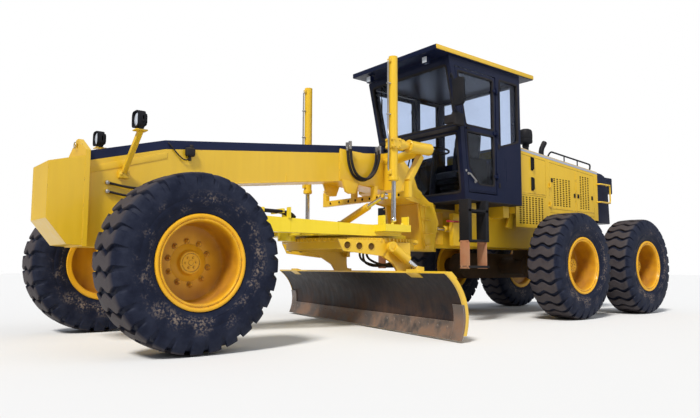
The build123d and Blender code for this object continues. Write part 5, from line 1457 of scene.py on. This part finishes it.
def buildMirrors(mesh):
    place, outline = mirrorShape(0, mirrorSettings["corner"])
    addPrism(mesh, outline, -0.016, 0.014, place, 0.009)
    addFrame(mesh, outline, 0.006, -0.019, -0.010, place)
    path = [
        (-3.430, 0.728, 2.930), (-3.372, 0.775, 2.950), (-3.355, 0.826, 2.900), (-3.355, 0.826, 2.560),
        (-3.440, 0.775, 2.520), (-3.560, 0.728, 2.500)
    ]
    addBentBar(mesh, spots(path), 0.0085, 0.05)
    for z in (2.81, 2.60):
        addBox(mesh, spot(-3.369, 0.818, z - 0.015), spot(-3.345, 0.848, z + 0.015), 0.003)
    for x, z in ((-3.430, 2.930), (-3.560, 2.500)):
        addBox(mesh, spot(x - 0.02, 0.723, z - 0.02), spot(x + 0.02, 0.733, z + 0.02), 0.003)


def buildMirrorFaces(mesh):
    place, outline = mirrorShape(mirrorSettings["lip"], mirrorSettings["corner"] - 0.005)
    addPrism(mesh, outline, -0.0175, -0.012, place)


addPieces("rear", (
    (buildLadders, "ladders", blackPlastic, ["cab_steps_and_mirrors"]),
    (buildStraps, "ladder_straps", strapRubber),
    (buildMirrors, "mirror_housings", blackPlastic),
    (buildMirrorFaces, "mirror_faces", mirrorGlass),
))
print("cab pieces made")

# Blade: worn face, rims, plough bolts; circle teeth, side plates and holes with painted shade in them; hoses and
# clamps.

bladeSettings = dict(centre=(0.370, 0.220), radius=0.480, low=0.150, high=0.604, left=1.958, right=-1.975, steps=30)


def facePoint(z, gap):
    # A point on the blade's curved face, a gap in front of it.
    s = bladeSettings
    radius = s["radius"] - gap
    return s["centre"][0] - (radius ** 2 - (z - s["centre"][1]) ** 2) ** 0.5


def buildBladeFace(mesh):
    s = bladeSettings
    rows = [s["low"] + (s["high"] - s["low"]) * k / s["steps"] for k in range(s["steps"] + 1)]
    outline = [(facePoint(z, 0.0035), z) for z in rows] + [(facePoint(z, -0.004), z) for z in reversed(rows)]
    addPrism(mesh, outline, s["right"], s["left"], bladeView)


def buildBladeRims(mesh):
    s = bladeSettings
    top = facePoint(0.612, 0)
    addBox(mesh, (top - 0.020, s["right"] - 0.006, 0.603), (top + 0.012, s["left"] + 0.022, 0.622), 0.003, bladeFrame)
    rows = [0.180 + (0.606 - 0.180) * k / 20 for k in range(21)]
    for low, high in ((1.957, 1.9815), (-1.9815, -1.974)):
        outline = [(facePoint(z, 0.010), z) for z in rows] + [(facePoint(z, -0.018), z) for z in reversed(rows)]
        addPrism(mesh, outline, low, high, bladeView, 0.002)
    for u in (-1.45, 1.45):
        plate = [(top - 0.055, 0.560), (top + 0.008, 0.600), (top + 0.008, 0.640), (top - 0.055, 0.625)]
        addPrism(mesh, plate, u - 0.10, u + 0.10, bladeView, 0.003)


ploughSettings = dict(count=26, reach=1.90, height=0.120, endRows=(-1.93, -1.86, 1.86, 1.93), endHeights=(0.20, 0.28))


def addPloughBolt(mesh, point, depth):
    profile = [(0, -depth), (0.015, -depth), (0.015, 0.0), (0.012, 0.003), (0, 0.0035)]
    addLathe(mesh, profile, axisFrame(bladePoint(*point), bladeForward), 12)


def buildPloughBolts(mesh):
    s = ploughSettings
    for k in range(s["count"]):
        u = s["reach"] * (2 * k / (s["count"] - 1) - 1)
        addPloughBolt(mesh, (facePoint(0.135, 0.020), u, s["height"]), 0.006)
    for u in s["endRows"]:
        for z in s["endHeights"]:
            addPloughBolt(mesh, (facePoint(z, 0.012), u, z), 0.010)


circleSettings = dict(teeth=96, root=0.763, tip=0.784, low=0.923, high=0.959)


def buildCircleTeeth(mesh):
    s = circleSettings
    middle = Vector((circleMiddle.x, 0, 0))
    for k in range(s["teeth"]):
        place = Matrix.Translation(middle) @ Matrix.Rotation(2 * pi * k / s["teeth"], 4, "Z")
        outline = [(s["root"], -0.015), (s["tip"], -0.0075), (s["tip"], 0.0075), (s["root"], 0.015)]
        addPrism(mesh, outline, s["low"], s["high"], place)


sidePlate = [(0.541, 0.940), (0.480, 0.822), (0.020, 0.772), (-0.067, 0.885), (-0.060, 0.940)]
plateHoles = ((0.434, 0.881), (0.296, 0.874), (0.155, 0.871))
plateSettings = dict(face=0.7655, thick=0.010, hole=0.036)


def plateAxis(side, v, z, out=0.0):
    # Local z outward at a hole of the circle's side plate.
    return axisFrame(bladePoint(v, side * (plateSettings["face"] + out), z), bladeLeft * side)


def buildCirclePlates(mesh):
    face, thick, hole = plateSettings["face"], plateSettings["thick"], plateSettings["hole"]
    angles = [2 * pi * k / 20 for k in range(20)]
    holes = [[(v + hole * cos(angle), z + hole * sin(angle)) for angle in angles] for v, z in plateHoles]
    for side in (1, -1):
        addPlate(mesh, sidePlate, holes, side * face, side * (face + thick), bladeView)
    for side in (1, -1):
        for v, z in plateHoles:
            collar = [(0.0365, -0.004), (0.0365, 0.003), (0.043, 0.003), (0.045, -0.004)]
            addLathe(mesh, collar, plateAxis(side, v, z, thick), 24, closed=True)


def buildCircleHoleShade(mesh):
    # Dark brown discs behind the side plates' holes: painted shade.
    for side in (1, -1):
        for v, z in plateHoles:
            addLathe(mesh, [(0, 0.001), (0.0355, 0.001), (0.0355, -0.003), (0, -0.003)], plateAxis(side, v, z), 20)


def buildCircleHoses(mesh):
    for u, drop in ((0.30, 0.00), (0.38, 0.03), (0.46, -0.01)):
        path = [
            (-0.02, u - 0.10, 0.835), (0.02, u - 0.05, 0.765 - drop), (-0.04, u + 0.02, 0.700 - drop),
            (-0.14, u + 0.12, 0.672), (-0.24, u + 0.20, 0.700), (-0.30, u + 0.24, 0.740)
        ]
        addHose(mesh, [bladePoint(*point) for point in path], 0.0125)


def buildDrawbarHoses(mesh):
    for y in (0.100, 0.134, 0.168, 0.202):
        path = [
            (-0.70, y - 0.10, 1.228), (-0.92, y - 0.06, 1.236), (-1.12, y, 1.232), (-1.30, y + 0.02, 1.228),
            (-1.46, y + 0.02, 1.222), (-1.56, y - 0.03, 1.205), (-1.60, y - 0.05, 1.180)
        ]
        addHose(mesh, spots(path), 0.015)


def buildDrawbarTrim(mesh):
    for x in (-0.88, -1.18, -1.42):
        addBox(mesh, spot(x, 0.010, 1.208), spot(x + 0.03, 0.235, 1.256), 0.006)
    for side in (1, -1):
        for x, y in ((-2.36, 0.660), (-2.36, 0.840), (-2.50, 0.660), (-2.50, 0.840)):
            addBolt(mesh, spot(x, side * y, 1.104), (0, 0, 1), 0.026, 0.016)


addPieces("blade", (
    (buildBladeFace, "blade_face", bladeSteel),
    (buildBladeRims, "blade_rims", yellowPaint),
    (buildPloughBolts, "plough_bolts", edgeSteel),
))
addPieces("circle", (
    (buildCircleTeeth, "circle_teeth", yellowPaint),
    (buildCirclePlates, "circle_side_plates", yellowPaint),
    (buildCircleHoleShade, "circle_side_hole_shade", paintedPocketShade),
    (buildCircleHoses, "circle_hoses", blackRubber, [], 60),
))
addPieces("drawbar", (
    (buildDrawbarHoses, "drawbar_hoses", blackRubber, [], 60),
    (buildDrawbarTrim, "drawbar_trim", brightYellow),
))
print("blade and drawbar pieces made")

# Hood: louvred sides and doors, silver top, handrails, stacks; rounded tail with its lamps.

hoodSettings = dict(
    half=0.600, wall=0.005, front=-4.840, rear=-6.950, frontTop=2.300, rearTop=2.150, doorDrop=0.090, hinge=0.616,
    seamIn=0.586, seamOut=0.596, flat=2.000, doorTop=2.210, edge=2.288, lip=0.012
)
louvres = {
    "low": dict(x=(-5.490, -4.905), z=(1.245, 1.625), columns=8, rows=13),
    "middle": dict(x=(-6.190, -5.730), z=(1.535, 1.940), columns=6, rows=15),
    "rear": dict(x=(-6.710, -6.430), z=(1.530, 2.030), columns=4, rows=19),
}
engineDoors = {"front": (-5.550, -4.900, 1.640), "rear": (-6.840, -5.640, 1.430)}


doorLouvres = {"front": (), "rear": ("middle", "rear")}
nearly = 1e-4


def hoodTop(x):
    s = hoodSettings
    return s["frontTop"] + (s["front"] - x) / (s["front"] - s["rear"]) * (s["rearTop"] - s["frontTop"])


def louvreCells(name):
    # Lying slots: where they run along x, and along z.
    s = louvres[name]
    return slots(*s["x"], s["columns"], 0.58), slots(*s["z"], s["rows"], 0.56)


def spread(*parts):
    return sorted({round(value, 5) for part in parts for value in part})


def inRuns(value, runs):
    return any(low - nearly < value < high - nearly for low, high in runs)


def inCells(cells, a, c):
    return inRuns(a, cells[0]) and inRuns(c, cells[1])


def buildHoodShell(mesh):
    s = hoodSettings
    cells = louvreCells("low")
    across = spread(
        (s["rear"], -6.840, -5.640, -5.600, -5.550, -4.900, s["front"]), edgesOf(cells[0]), (-6.5, -6.1, -5.8)
    )
    up = spread((1.200, 1.380, 1.430, 1.640, s["flat"], s["doorTop"], s["edge"]), edgesOf(cells[1]))

    def height(x, z):
        # Level up to flat, then following the slope of the top.
        top, flat, door, edge = hoodTop(x), s["flat"], s["doorTop"], s["edge"]
        if z <= flat:
            return z
        if z <= door:
            return flat + (z - flat) / (door - flat) * (top - s["doorDrop"] - flat)
        return top - s["lip"] - (edge - z) / (edge - door) * (s["doorDrop"] - s["lip"])

    def opening(a, b, c, d):
        if c < 1.379 and a < -5.551 or inCells(cells, a, c):
            return True
        for rear, front, low in engineDoors.values():
            if rear - nearly < a and b < front + nearly and low - nearly < c and d < s["doorTop"] + nearly:
                return True
        return False

    for side in (1, -1):
        surface = lambda a, z, depth: spot(a, side * (s["half"] - depth), height(a, z))
        addPerforated(mesh, surface, across, up, opening, s["wall"])
    addBox(mesh, spot(s["front"] - 0.018, -0.58, 1.380), spot(s["front"], 0.58, 2.270), 0.002)
    for side in (1, -1):
        brace = [(-4.760, 1.200), (-4.940, 1.500), (-5.040, 1.500), (-4.880, 1.180)]
        addFlank(mesh, brace, side * 0.470, side * 0.500, 0.004)
        for front, low in ((-4.900, 1.640), (-5.640, 1.430)):
            for z in (low + 0.13, low + 0.40):
                pin = spot(front, side * s["hinge"], z)
                addPin(mesh, pin, (0, 0, -0.045), (0, 0, -0.027), 0.012, 12, 0.002)
                addBlock(mesh, pin, (0.004, -side * 0.017, -0.045), (0.034, -side * 0.004, -0.027), 0.002)


topHalf = [(0.584, -0.001), (0.594, -0.007), (0.600, -0.020), (0.6015, -0.050)]  # (y, drop) of the rounded edge


def buildHoodTop(mesh):
    s = hoodSettings
    section = [(-y, drop) for y, drop in reversed(topHalf)] + [(-0.30, 0.0), (0.30, 0.0)]
    section += [*topHalf, (0.592, -0.050), (-0.592, -0.050)]
    loops = [[mesh.verts.new(spot(x, y, hoodTop(x) + drop)) for y, drop in section] for x in (s["front"], s["rear"])]
    for k in range(len(section)):
        mesh.faces.new((loops[0][k - 1], loops[0][k], loops[1][k], loops[1][k - 1]))
    mesh.faces.new(loops[0])
    mesh.faces.new(loops[1][::-1])


def buildEngineDoor(row):
    def build(mesh, side):
        s = hoodSettings
        rear, front, low = engineDoors[row]
        rear, front, low = rear + 0.004, front - 0.004, low + 0.004
        cells = [louvreCells(name) for name in doorLouvres[row]]
        across = spread((rear, front), *(edgesOf(columns) for columns, rows in cells))
        up = spread((low, 2.010, 2.070), *(edgesOf(rows) for columns, rows in cells))

        def height(x, z):
            top = hoodTop(x) - s["doorDrop"] - 0.004
            return z if z <= 2.0101 else 2.010 + (z - 2.010) / 0.060 * (top - 2.010)

        surface = lambda a, z, depth: spot(a, side * (s["half"] - 0.001 - depth), height(a, z))
        opening = lambda a, b, c, d: any(inCells(pair, a, c) for pair in cells)
        addPerforated(mesh, surface, across, up, opening, s["wall"])
        for z in (low + 0.126, low + 0.396):
            pin = spot(front + 0.004, side * s["hinge"], z)
            addPin(mesh, pin, (0, 0, -0.025), (0, 0, 0.025), 0.012, 12, 0.002)
            addBlock(mesh, pin, (-0.046, -side * 0.017, -0.02), (-0.004, -side * 0.006, 0.02), 0.002)
        inner, outer = side * (s["half"] - 0.002), side * (s["half"] + 0.003)
        if row == "rear":
            for x in (-6.320, -6.350):
                addBox(mesh, spot(x - 0.004, inner, low + 0.012), spot(x + 0.004, outer, hoodTop(x) - 0.102), 0.001)
        seam = {"rear": 1.494, "front": 1.672}[row]
        addBox(mesh, spot(rear + 0.01, inner, seam), spot(front - 0.01, outer, seam + 0.006))
    return build


screenSettings = dict(inner=0.583, outer=0.589, wires=12, wire=0.5915)


def buildRearScreensAndShade(mesh, side):
    # A solid dark sheet behind each rear louvre, painted shade, with upright screen wires in front of it.
    s = screenSettings
    for name in doorLouvres["rear"]:
        (rear, front), (low, high) = louvres[name]["x"], louvres[name]["z"]
        inner, outer = side * s["inner"], side * s["outer"]
        addBox(mesh, spot(rear - 0.02, inner, low - 0.02), spot(front + 0.02, outer, high + 0.02), 0.001)
        for k in range(s["wires"]):
            x = rear + (front - rear) * (k + 0.5) / s["wires"]
            inner, outer = side * (s["outer"] - 0.001), side * s["wire"]
            addBox(mesh, spot(x - 0.002, inner, low - 0.01), spot(x + 0.002, outer, high + 0.01))


def buildHoodHandles(mesh, side):
    for z in (1.725, 2.005):
        at = spot(-5.225, side * 0.599, z)
        path = [(0, 0, 0), (0, side * 0.030, 0.006), (0, side * 0.030, 0.154), (0, 0, 0.160)]
        addBentBar(mesh, [at + Vector(point) for point in path], 0.0105, 0.02)
        addBlock(mesh, at, (-0.026, -side * 0.002, -0.014), (0.026, side * 0.006, 0.174), 0.003)


def buildHoodLatches(mesh, side):
    for x, z in ((-5.70, 1.90), (-6.29, 1.72), (-6.39, 1.72), (-6.78, 1.72)):
        at = spot(x, side * 0.599, z)
        addBlock(mesh, at, (-0.022, -side * 0.002, -0.03), (0.022, side * 0.008, 0.03), 0.004)
        addPin(mesh, at, (0, side * 0.006, 0), (0, side * 0.014, 0), 0.010, 16, 0.002)


def buildHoodSeamShade(mesh):
    # A dark sheet behind the low louvres and dark strips in the gaps round the engine doors: painted shade.
    s = hoodSettings
    for side in (1, -1):
        (rear, front), (low, high) = louvres["low"]["x"], louvres["low"]["z"]
        addBox(
            mesh, spot(rear - 0.02, side * 0.580, low - 0.02), spot(front + 0.02, side * s["seamIn"], high + 0.01),
            0.001
        )
        for rear, front, low in engineDoors.values():
            inner, outer = side * s["seamIn"], side * s["seamOut"]
            for x in (rear, front):
                addBox(mesh, spot(x - 0.005, inner, low), spot(x + 0.005, outer, hoodTop(x) - s["doorDrop"]))
            addBox(mesh, spot(rear, inner, low - 0.005), spot(front, outer, low + 0.005))
            start, end = hoodTop(rear) - s["doorDrop"], hoodTop(front) - s["doorDrop"]
            outline = [(rear, start - 0.006), (front, end - 0.006), (front, end + 0.004), (rear, start + 0.004)]
            addFlank(mesh, outline, inner, outer)


railSettings = dict(y=0.500, radius=0.0125, posts=(-6.20, -6.56))


def buildHandrail(mesh):
    s = railSettings
    for side in (1, -1):
        y = side * s["y"]
        path = [(-5.744, hoodTop(-5.744) - 0.004), (-5.845, 2.345), (-6.940, 2.268), (-6.900, hoodTop(-6.900) - 0.004)]
        addBentBar(mesh, [spot(x, y, z) for x, z in path], s["radius"], 0.05)
        for x in s["posts"]:
            top = 2.345 - (x + 5.845) / -1.095 * 0.077
            addRod(mesh, spot(x, y, hoodTop(x) - 0.006), spot(x, y, top), 0.009, 12, 0.001)


tailSettings = dict(half=0.589, slats=9, slatHalf=0.36, pitch=0.075)


def buildTail(mesh):
    s = tailSettings
    outline = [
        (-6.950, 0.900), (-6.950, 2.138), (-7.100, 2.128), (-7.190, 2.100), (-7.255, 2.045), (-7.285, 1.960),
        (-7.322, 0.900)
    ]
    outline = [(x, max(z, tailLow)) for x, z in outline]
    addFlank(mesh, outline, -s["half"], s["half"], 0.016)
    for k in range(s["slats"]):
        z = tailLow + 0.18 + s["pitch"] * k
        inner, outer = -7.30 + 0.03 * (z - tailLow), -7.3235 + 0.028 * (z - tailLow)
        addBox(mesh, spot(inner, -s["slatHalf"], z), spot(outer, s["slatHalf"], z + 0.030), 0.004)


def buildLampBoxes(mesh):
    for side in (1, -1):
        addBox(mesh, spot(-7.438, side * 0.382, 1.832), spot(-7.232, side * 0.584, 2.088), 0.014)
        addBox(mesh, spot(-7.26, side * 0.40, 1.86), spot(-7.20, side * 0.56, 2.05), 0.006)
        for z in (1.88, 1.96, 2.04):
            addBox(mesh, spot(-7.42, side * 0.583, z - 0.004), spot(-7.25, side * 0.5895, z + 0.004))


def buildTailLenses(mesh):
    for side in (1, -1):
        for z in (1.875, 1.985):
            addBox(mesh, spot(-7.4395, side * 0.400, z - 0.035), spot(-7.430, side * 0.566, z + 0.055), 0.004)
        addBox(mesh, spot(-3.740, side * 0.351, 1.222), spot(-3.965, side * 0.366, 1.246), 0.004)


def buildTailRails(mesh):
    for side in (1, -1):
        path = [
            (-6.935, 0.585, 1.950), (-6.950, 0.650, 1.950), (-7.235, 0.650, 1.950), (-7.235, 0.650, 1.670),
            (-6.950, 0.650, 1.670), (-6.935, 0.585, 1.670)
        ]
        addBentBar(mesh, [spot(x, side * y, z) for x, y, z in path], 0.012, 0.05)
        for z in (1.95, 1.67):
            addRod(mesh, spot(-7.235, side * 0.655, z), spot(-7.235, side * 0.580, z), 0.011, 12, 0.001)


stackSettings = dict(intake=-5.960, vanes=20, exhaust=-6.370, pipe=0.040, bend=2.510, tip=(-0.095, 0, 2.632))


def buildStacks(mesh):
    s = stackSettings
    foot = spot(s["intake"], 0, 0)
    low = hoodTop(s["intake"]) - 0.01
    bowl = [
        (0, low), (0.060, low), (0.060, low + 0.012), (0.045, low + 0.016), (0.045, 2.500), (0.052, 2.505),
        (0.052, 2.530), (0.045, 2.536), (0.062, 2.545), (0.098, 2.560), (0.104, 2.575), (0.104, 2.610), (0.100, 2.613),
        (0.100, 2.621), (0.104, 2.624), (0.104, 2.700), (0.101, 2.735), (0.088, 2.762), (0.060, 2.776), (0.016, 2.779),
        (0, 2.779)
    ]
    addLathe(mesh, bowl, Matrix.Translation(foot), 40)
    addBolt(mesh, foot + upward * 2.770, (0, 0, 1), 0.016, 0.008)
    for k in range(s["vanes"]):
        turn = Matrix.Translation(foot) @ Matrix.Rotation(2 * pi * k / s["vanes"], 4, "Z")
        addBox(mesh, (0.097, -0.004, 2.640), (0.1048, 0.004, 2.695), 0.001, turn)
    at = spot(s["exhaust"], 0, 0)
    start = hoodTop(s["exhaust"]) - 0.01
    flange = [(0, start), (0.058, start), (0.058, start + 0.010), (0.048, start + 0.014), (0, start + 0.014)]
    addLathe(mesh, flange, Matrix.Translation(at), 32)
    tip = at + Vector(s["tip"])
    addBentBar(mesh, [at + upward * start, at + upward * s["bend"], tip], s["pipe"], 0.06, 28)
    mouth = axisFrame(tip, tip - at - upward * s["bend"])
    addLathe(mesh, [(0.0335, -0.060), (0.0335, 0.003), (0.0415, 0.003), (0.0415, -0.060)], mouth, 28, closed=True)
    addLathe(mesh, [(0, 0.0012), (0.0330, 0.0012), (0.0330, -0.002), (0, -0.002)], mouth, 28)


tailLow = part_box("tail_shroud")[0][2]
addPieces("rear", (
    (buildHoodShell, "hood_shell", yellowPaint, ["hood"]),
    (buildHoodTop, "hood_top_skin", silverPaint),
    (buildHoodSeamShade, "hood_seam_shade", paintedShadeBlack),
    (buildHandrail, "hood_handrails", blackPlastic),
    (buildTail, "tail_cover", navyPaint, ["tail_shroud"]),
    (buildLampBoxes, "tail_lamp_boxes", navyPaint),
    (buildTailLenses, "tail_lenses_and_reflectors", redLens),
    (buildTailRails, "tail_grab_rails", yellowPaint),
    (buildStacks, "air_intake_and_exhaust", blackPlastic, ["engine_stacks"]),
))
for row in engineDoors:
    door = "engine_door_" + row + "_{side}"
    addMirrored(buildEngineDoor(row), "engine_panel_" + row + "_{side}", door, yellowPaint, [door])
addMirrored(buildRearScreensAndShade, "louvre_screens_{side}", "engine_door_rear_{side}", paintedShadeBlack)
addMirrored(buildHoodHandles, "hood_handles_{side}", "engine_door_front_{side}", blackPlastic)
addMirrored(buildHoodLatches, "hood_latches_{side}", "engine_door_rear_{side}", blackPlastic)
print("hood and tail pieces made")

# Camera, lights and floor.

cameraSettings = dict(place=(5.539, 5.564, 0.653), heading=-129.39, climb=5.38, roll=0.16, lens=31.98)


def addCamera():
    s = cameraSettings
    heading, climb, roll = radians(s["heading"]), radians(s["climb"]), radians(s["roll"])
    ahead = Vector((cos(heading) * cos(climb), sin(heading) * cos(climb), sin(climb)))
    right = ahead.cross(upward).normalized()
    up = right.cross(ahead)
    right, up = right * cos(roll) + up * sin(roll), up * cos(roll) - right * sin(roll)
    camera = bpy.data.cameras.new("camera")
    camera.lens = s["lens"]
    camera.sensor_width = 36.0
    camera.clip_end = 200.0
    holder = bpy.data.objects.new("camera", camera)
    holder.matrix_world = fromAxes(Vector(s["place"]), right, up, -ahead)
    scene.collection.objects.link(holder)
    scene.camera = holder


lightSettings = dict(
    key=dict(energy=3.3, angle=12.0, tilt=(42, 0, 118), colour=(1.0, 0.97, 0.92)),
    fill=dict(energy=0.55, angle=60.0, tilt=(60, 0, -150), colour=(0.92, 0.95, 1.0)),
)


def addLights():
    for name, s in lightSettings.items():
        lamp = bpy.data.lights.new(name, "SUN")
        lamp.energy = s["energy"]
        lamp.angle = radians(s["angle"])
        lamp.color = s["colour"]
        holder = bpy.data.objects.new(name, lamp)
        holder.rotation_euler = [radians(value) for value in s["tilt"]]
        scene.collection.objects.link(holder)
    world = bpy.data.worlds.new("studio")
    scene.world = world
    world.use_nodes = True
    tree = world.node_tree
    tree.nodes.clear()
    out = tree.nodes.new("ShaderNodeOutputWorld")
    direction = addNode(tree, "SeparateXYZ", {0: addNode(tree, "TexCoord").outputs["Generated"]}).outputs[2]
    sky = mixColour(tree, ramp(tree, direction, -0.1, 0.6), rgba((0.55, 0.53, 0.50)), rgba((0.80, 0.87, 0.98)))
    soft = addNode(tree, "Background", {"Color": sky, "Strength": 0.40}).outputs[0]
    white = addNode(tree, "Background", {"Color": (1, 1, 1, 1), "Strength": 1.0}).outputs[0]
    # White to the camera, directly or through glass, and the sky's light to everything else.
    path = addNode(tree, "LightPath").outputs
    through = times(tree, path["Is Transmission Ray"], maths(tree, "LESS_THAN", path["Diffuse Depth"], 0.5))
    seen = maths(tree, "MAXIMUM", path["Is Camera Ray"], through)
    mixed = addNode(tree, "MixShader", {0: seen, 1: soft, 2: white}).outputs[0]
    tree.links.new(mixed, out.inputs[0])


floorSettings = dict(size=60.0)


def addFloor():
    mesh = bmesh.new()
    bmesh.ops.create_grid(mesh, x_segments=2, y_segments=2, size=floorSettings["size"])
    data = bpy.data.meshes.new("floor")
    mesh.to_mesh(data)
    mesh.free()
    floor = bpy.data.objects.new("floor", data)
    scene.collection.objects.link(floor)


addCamera()
addLights()
addFloor()
print("camera, lights and floor made")
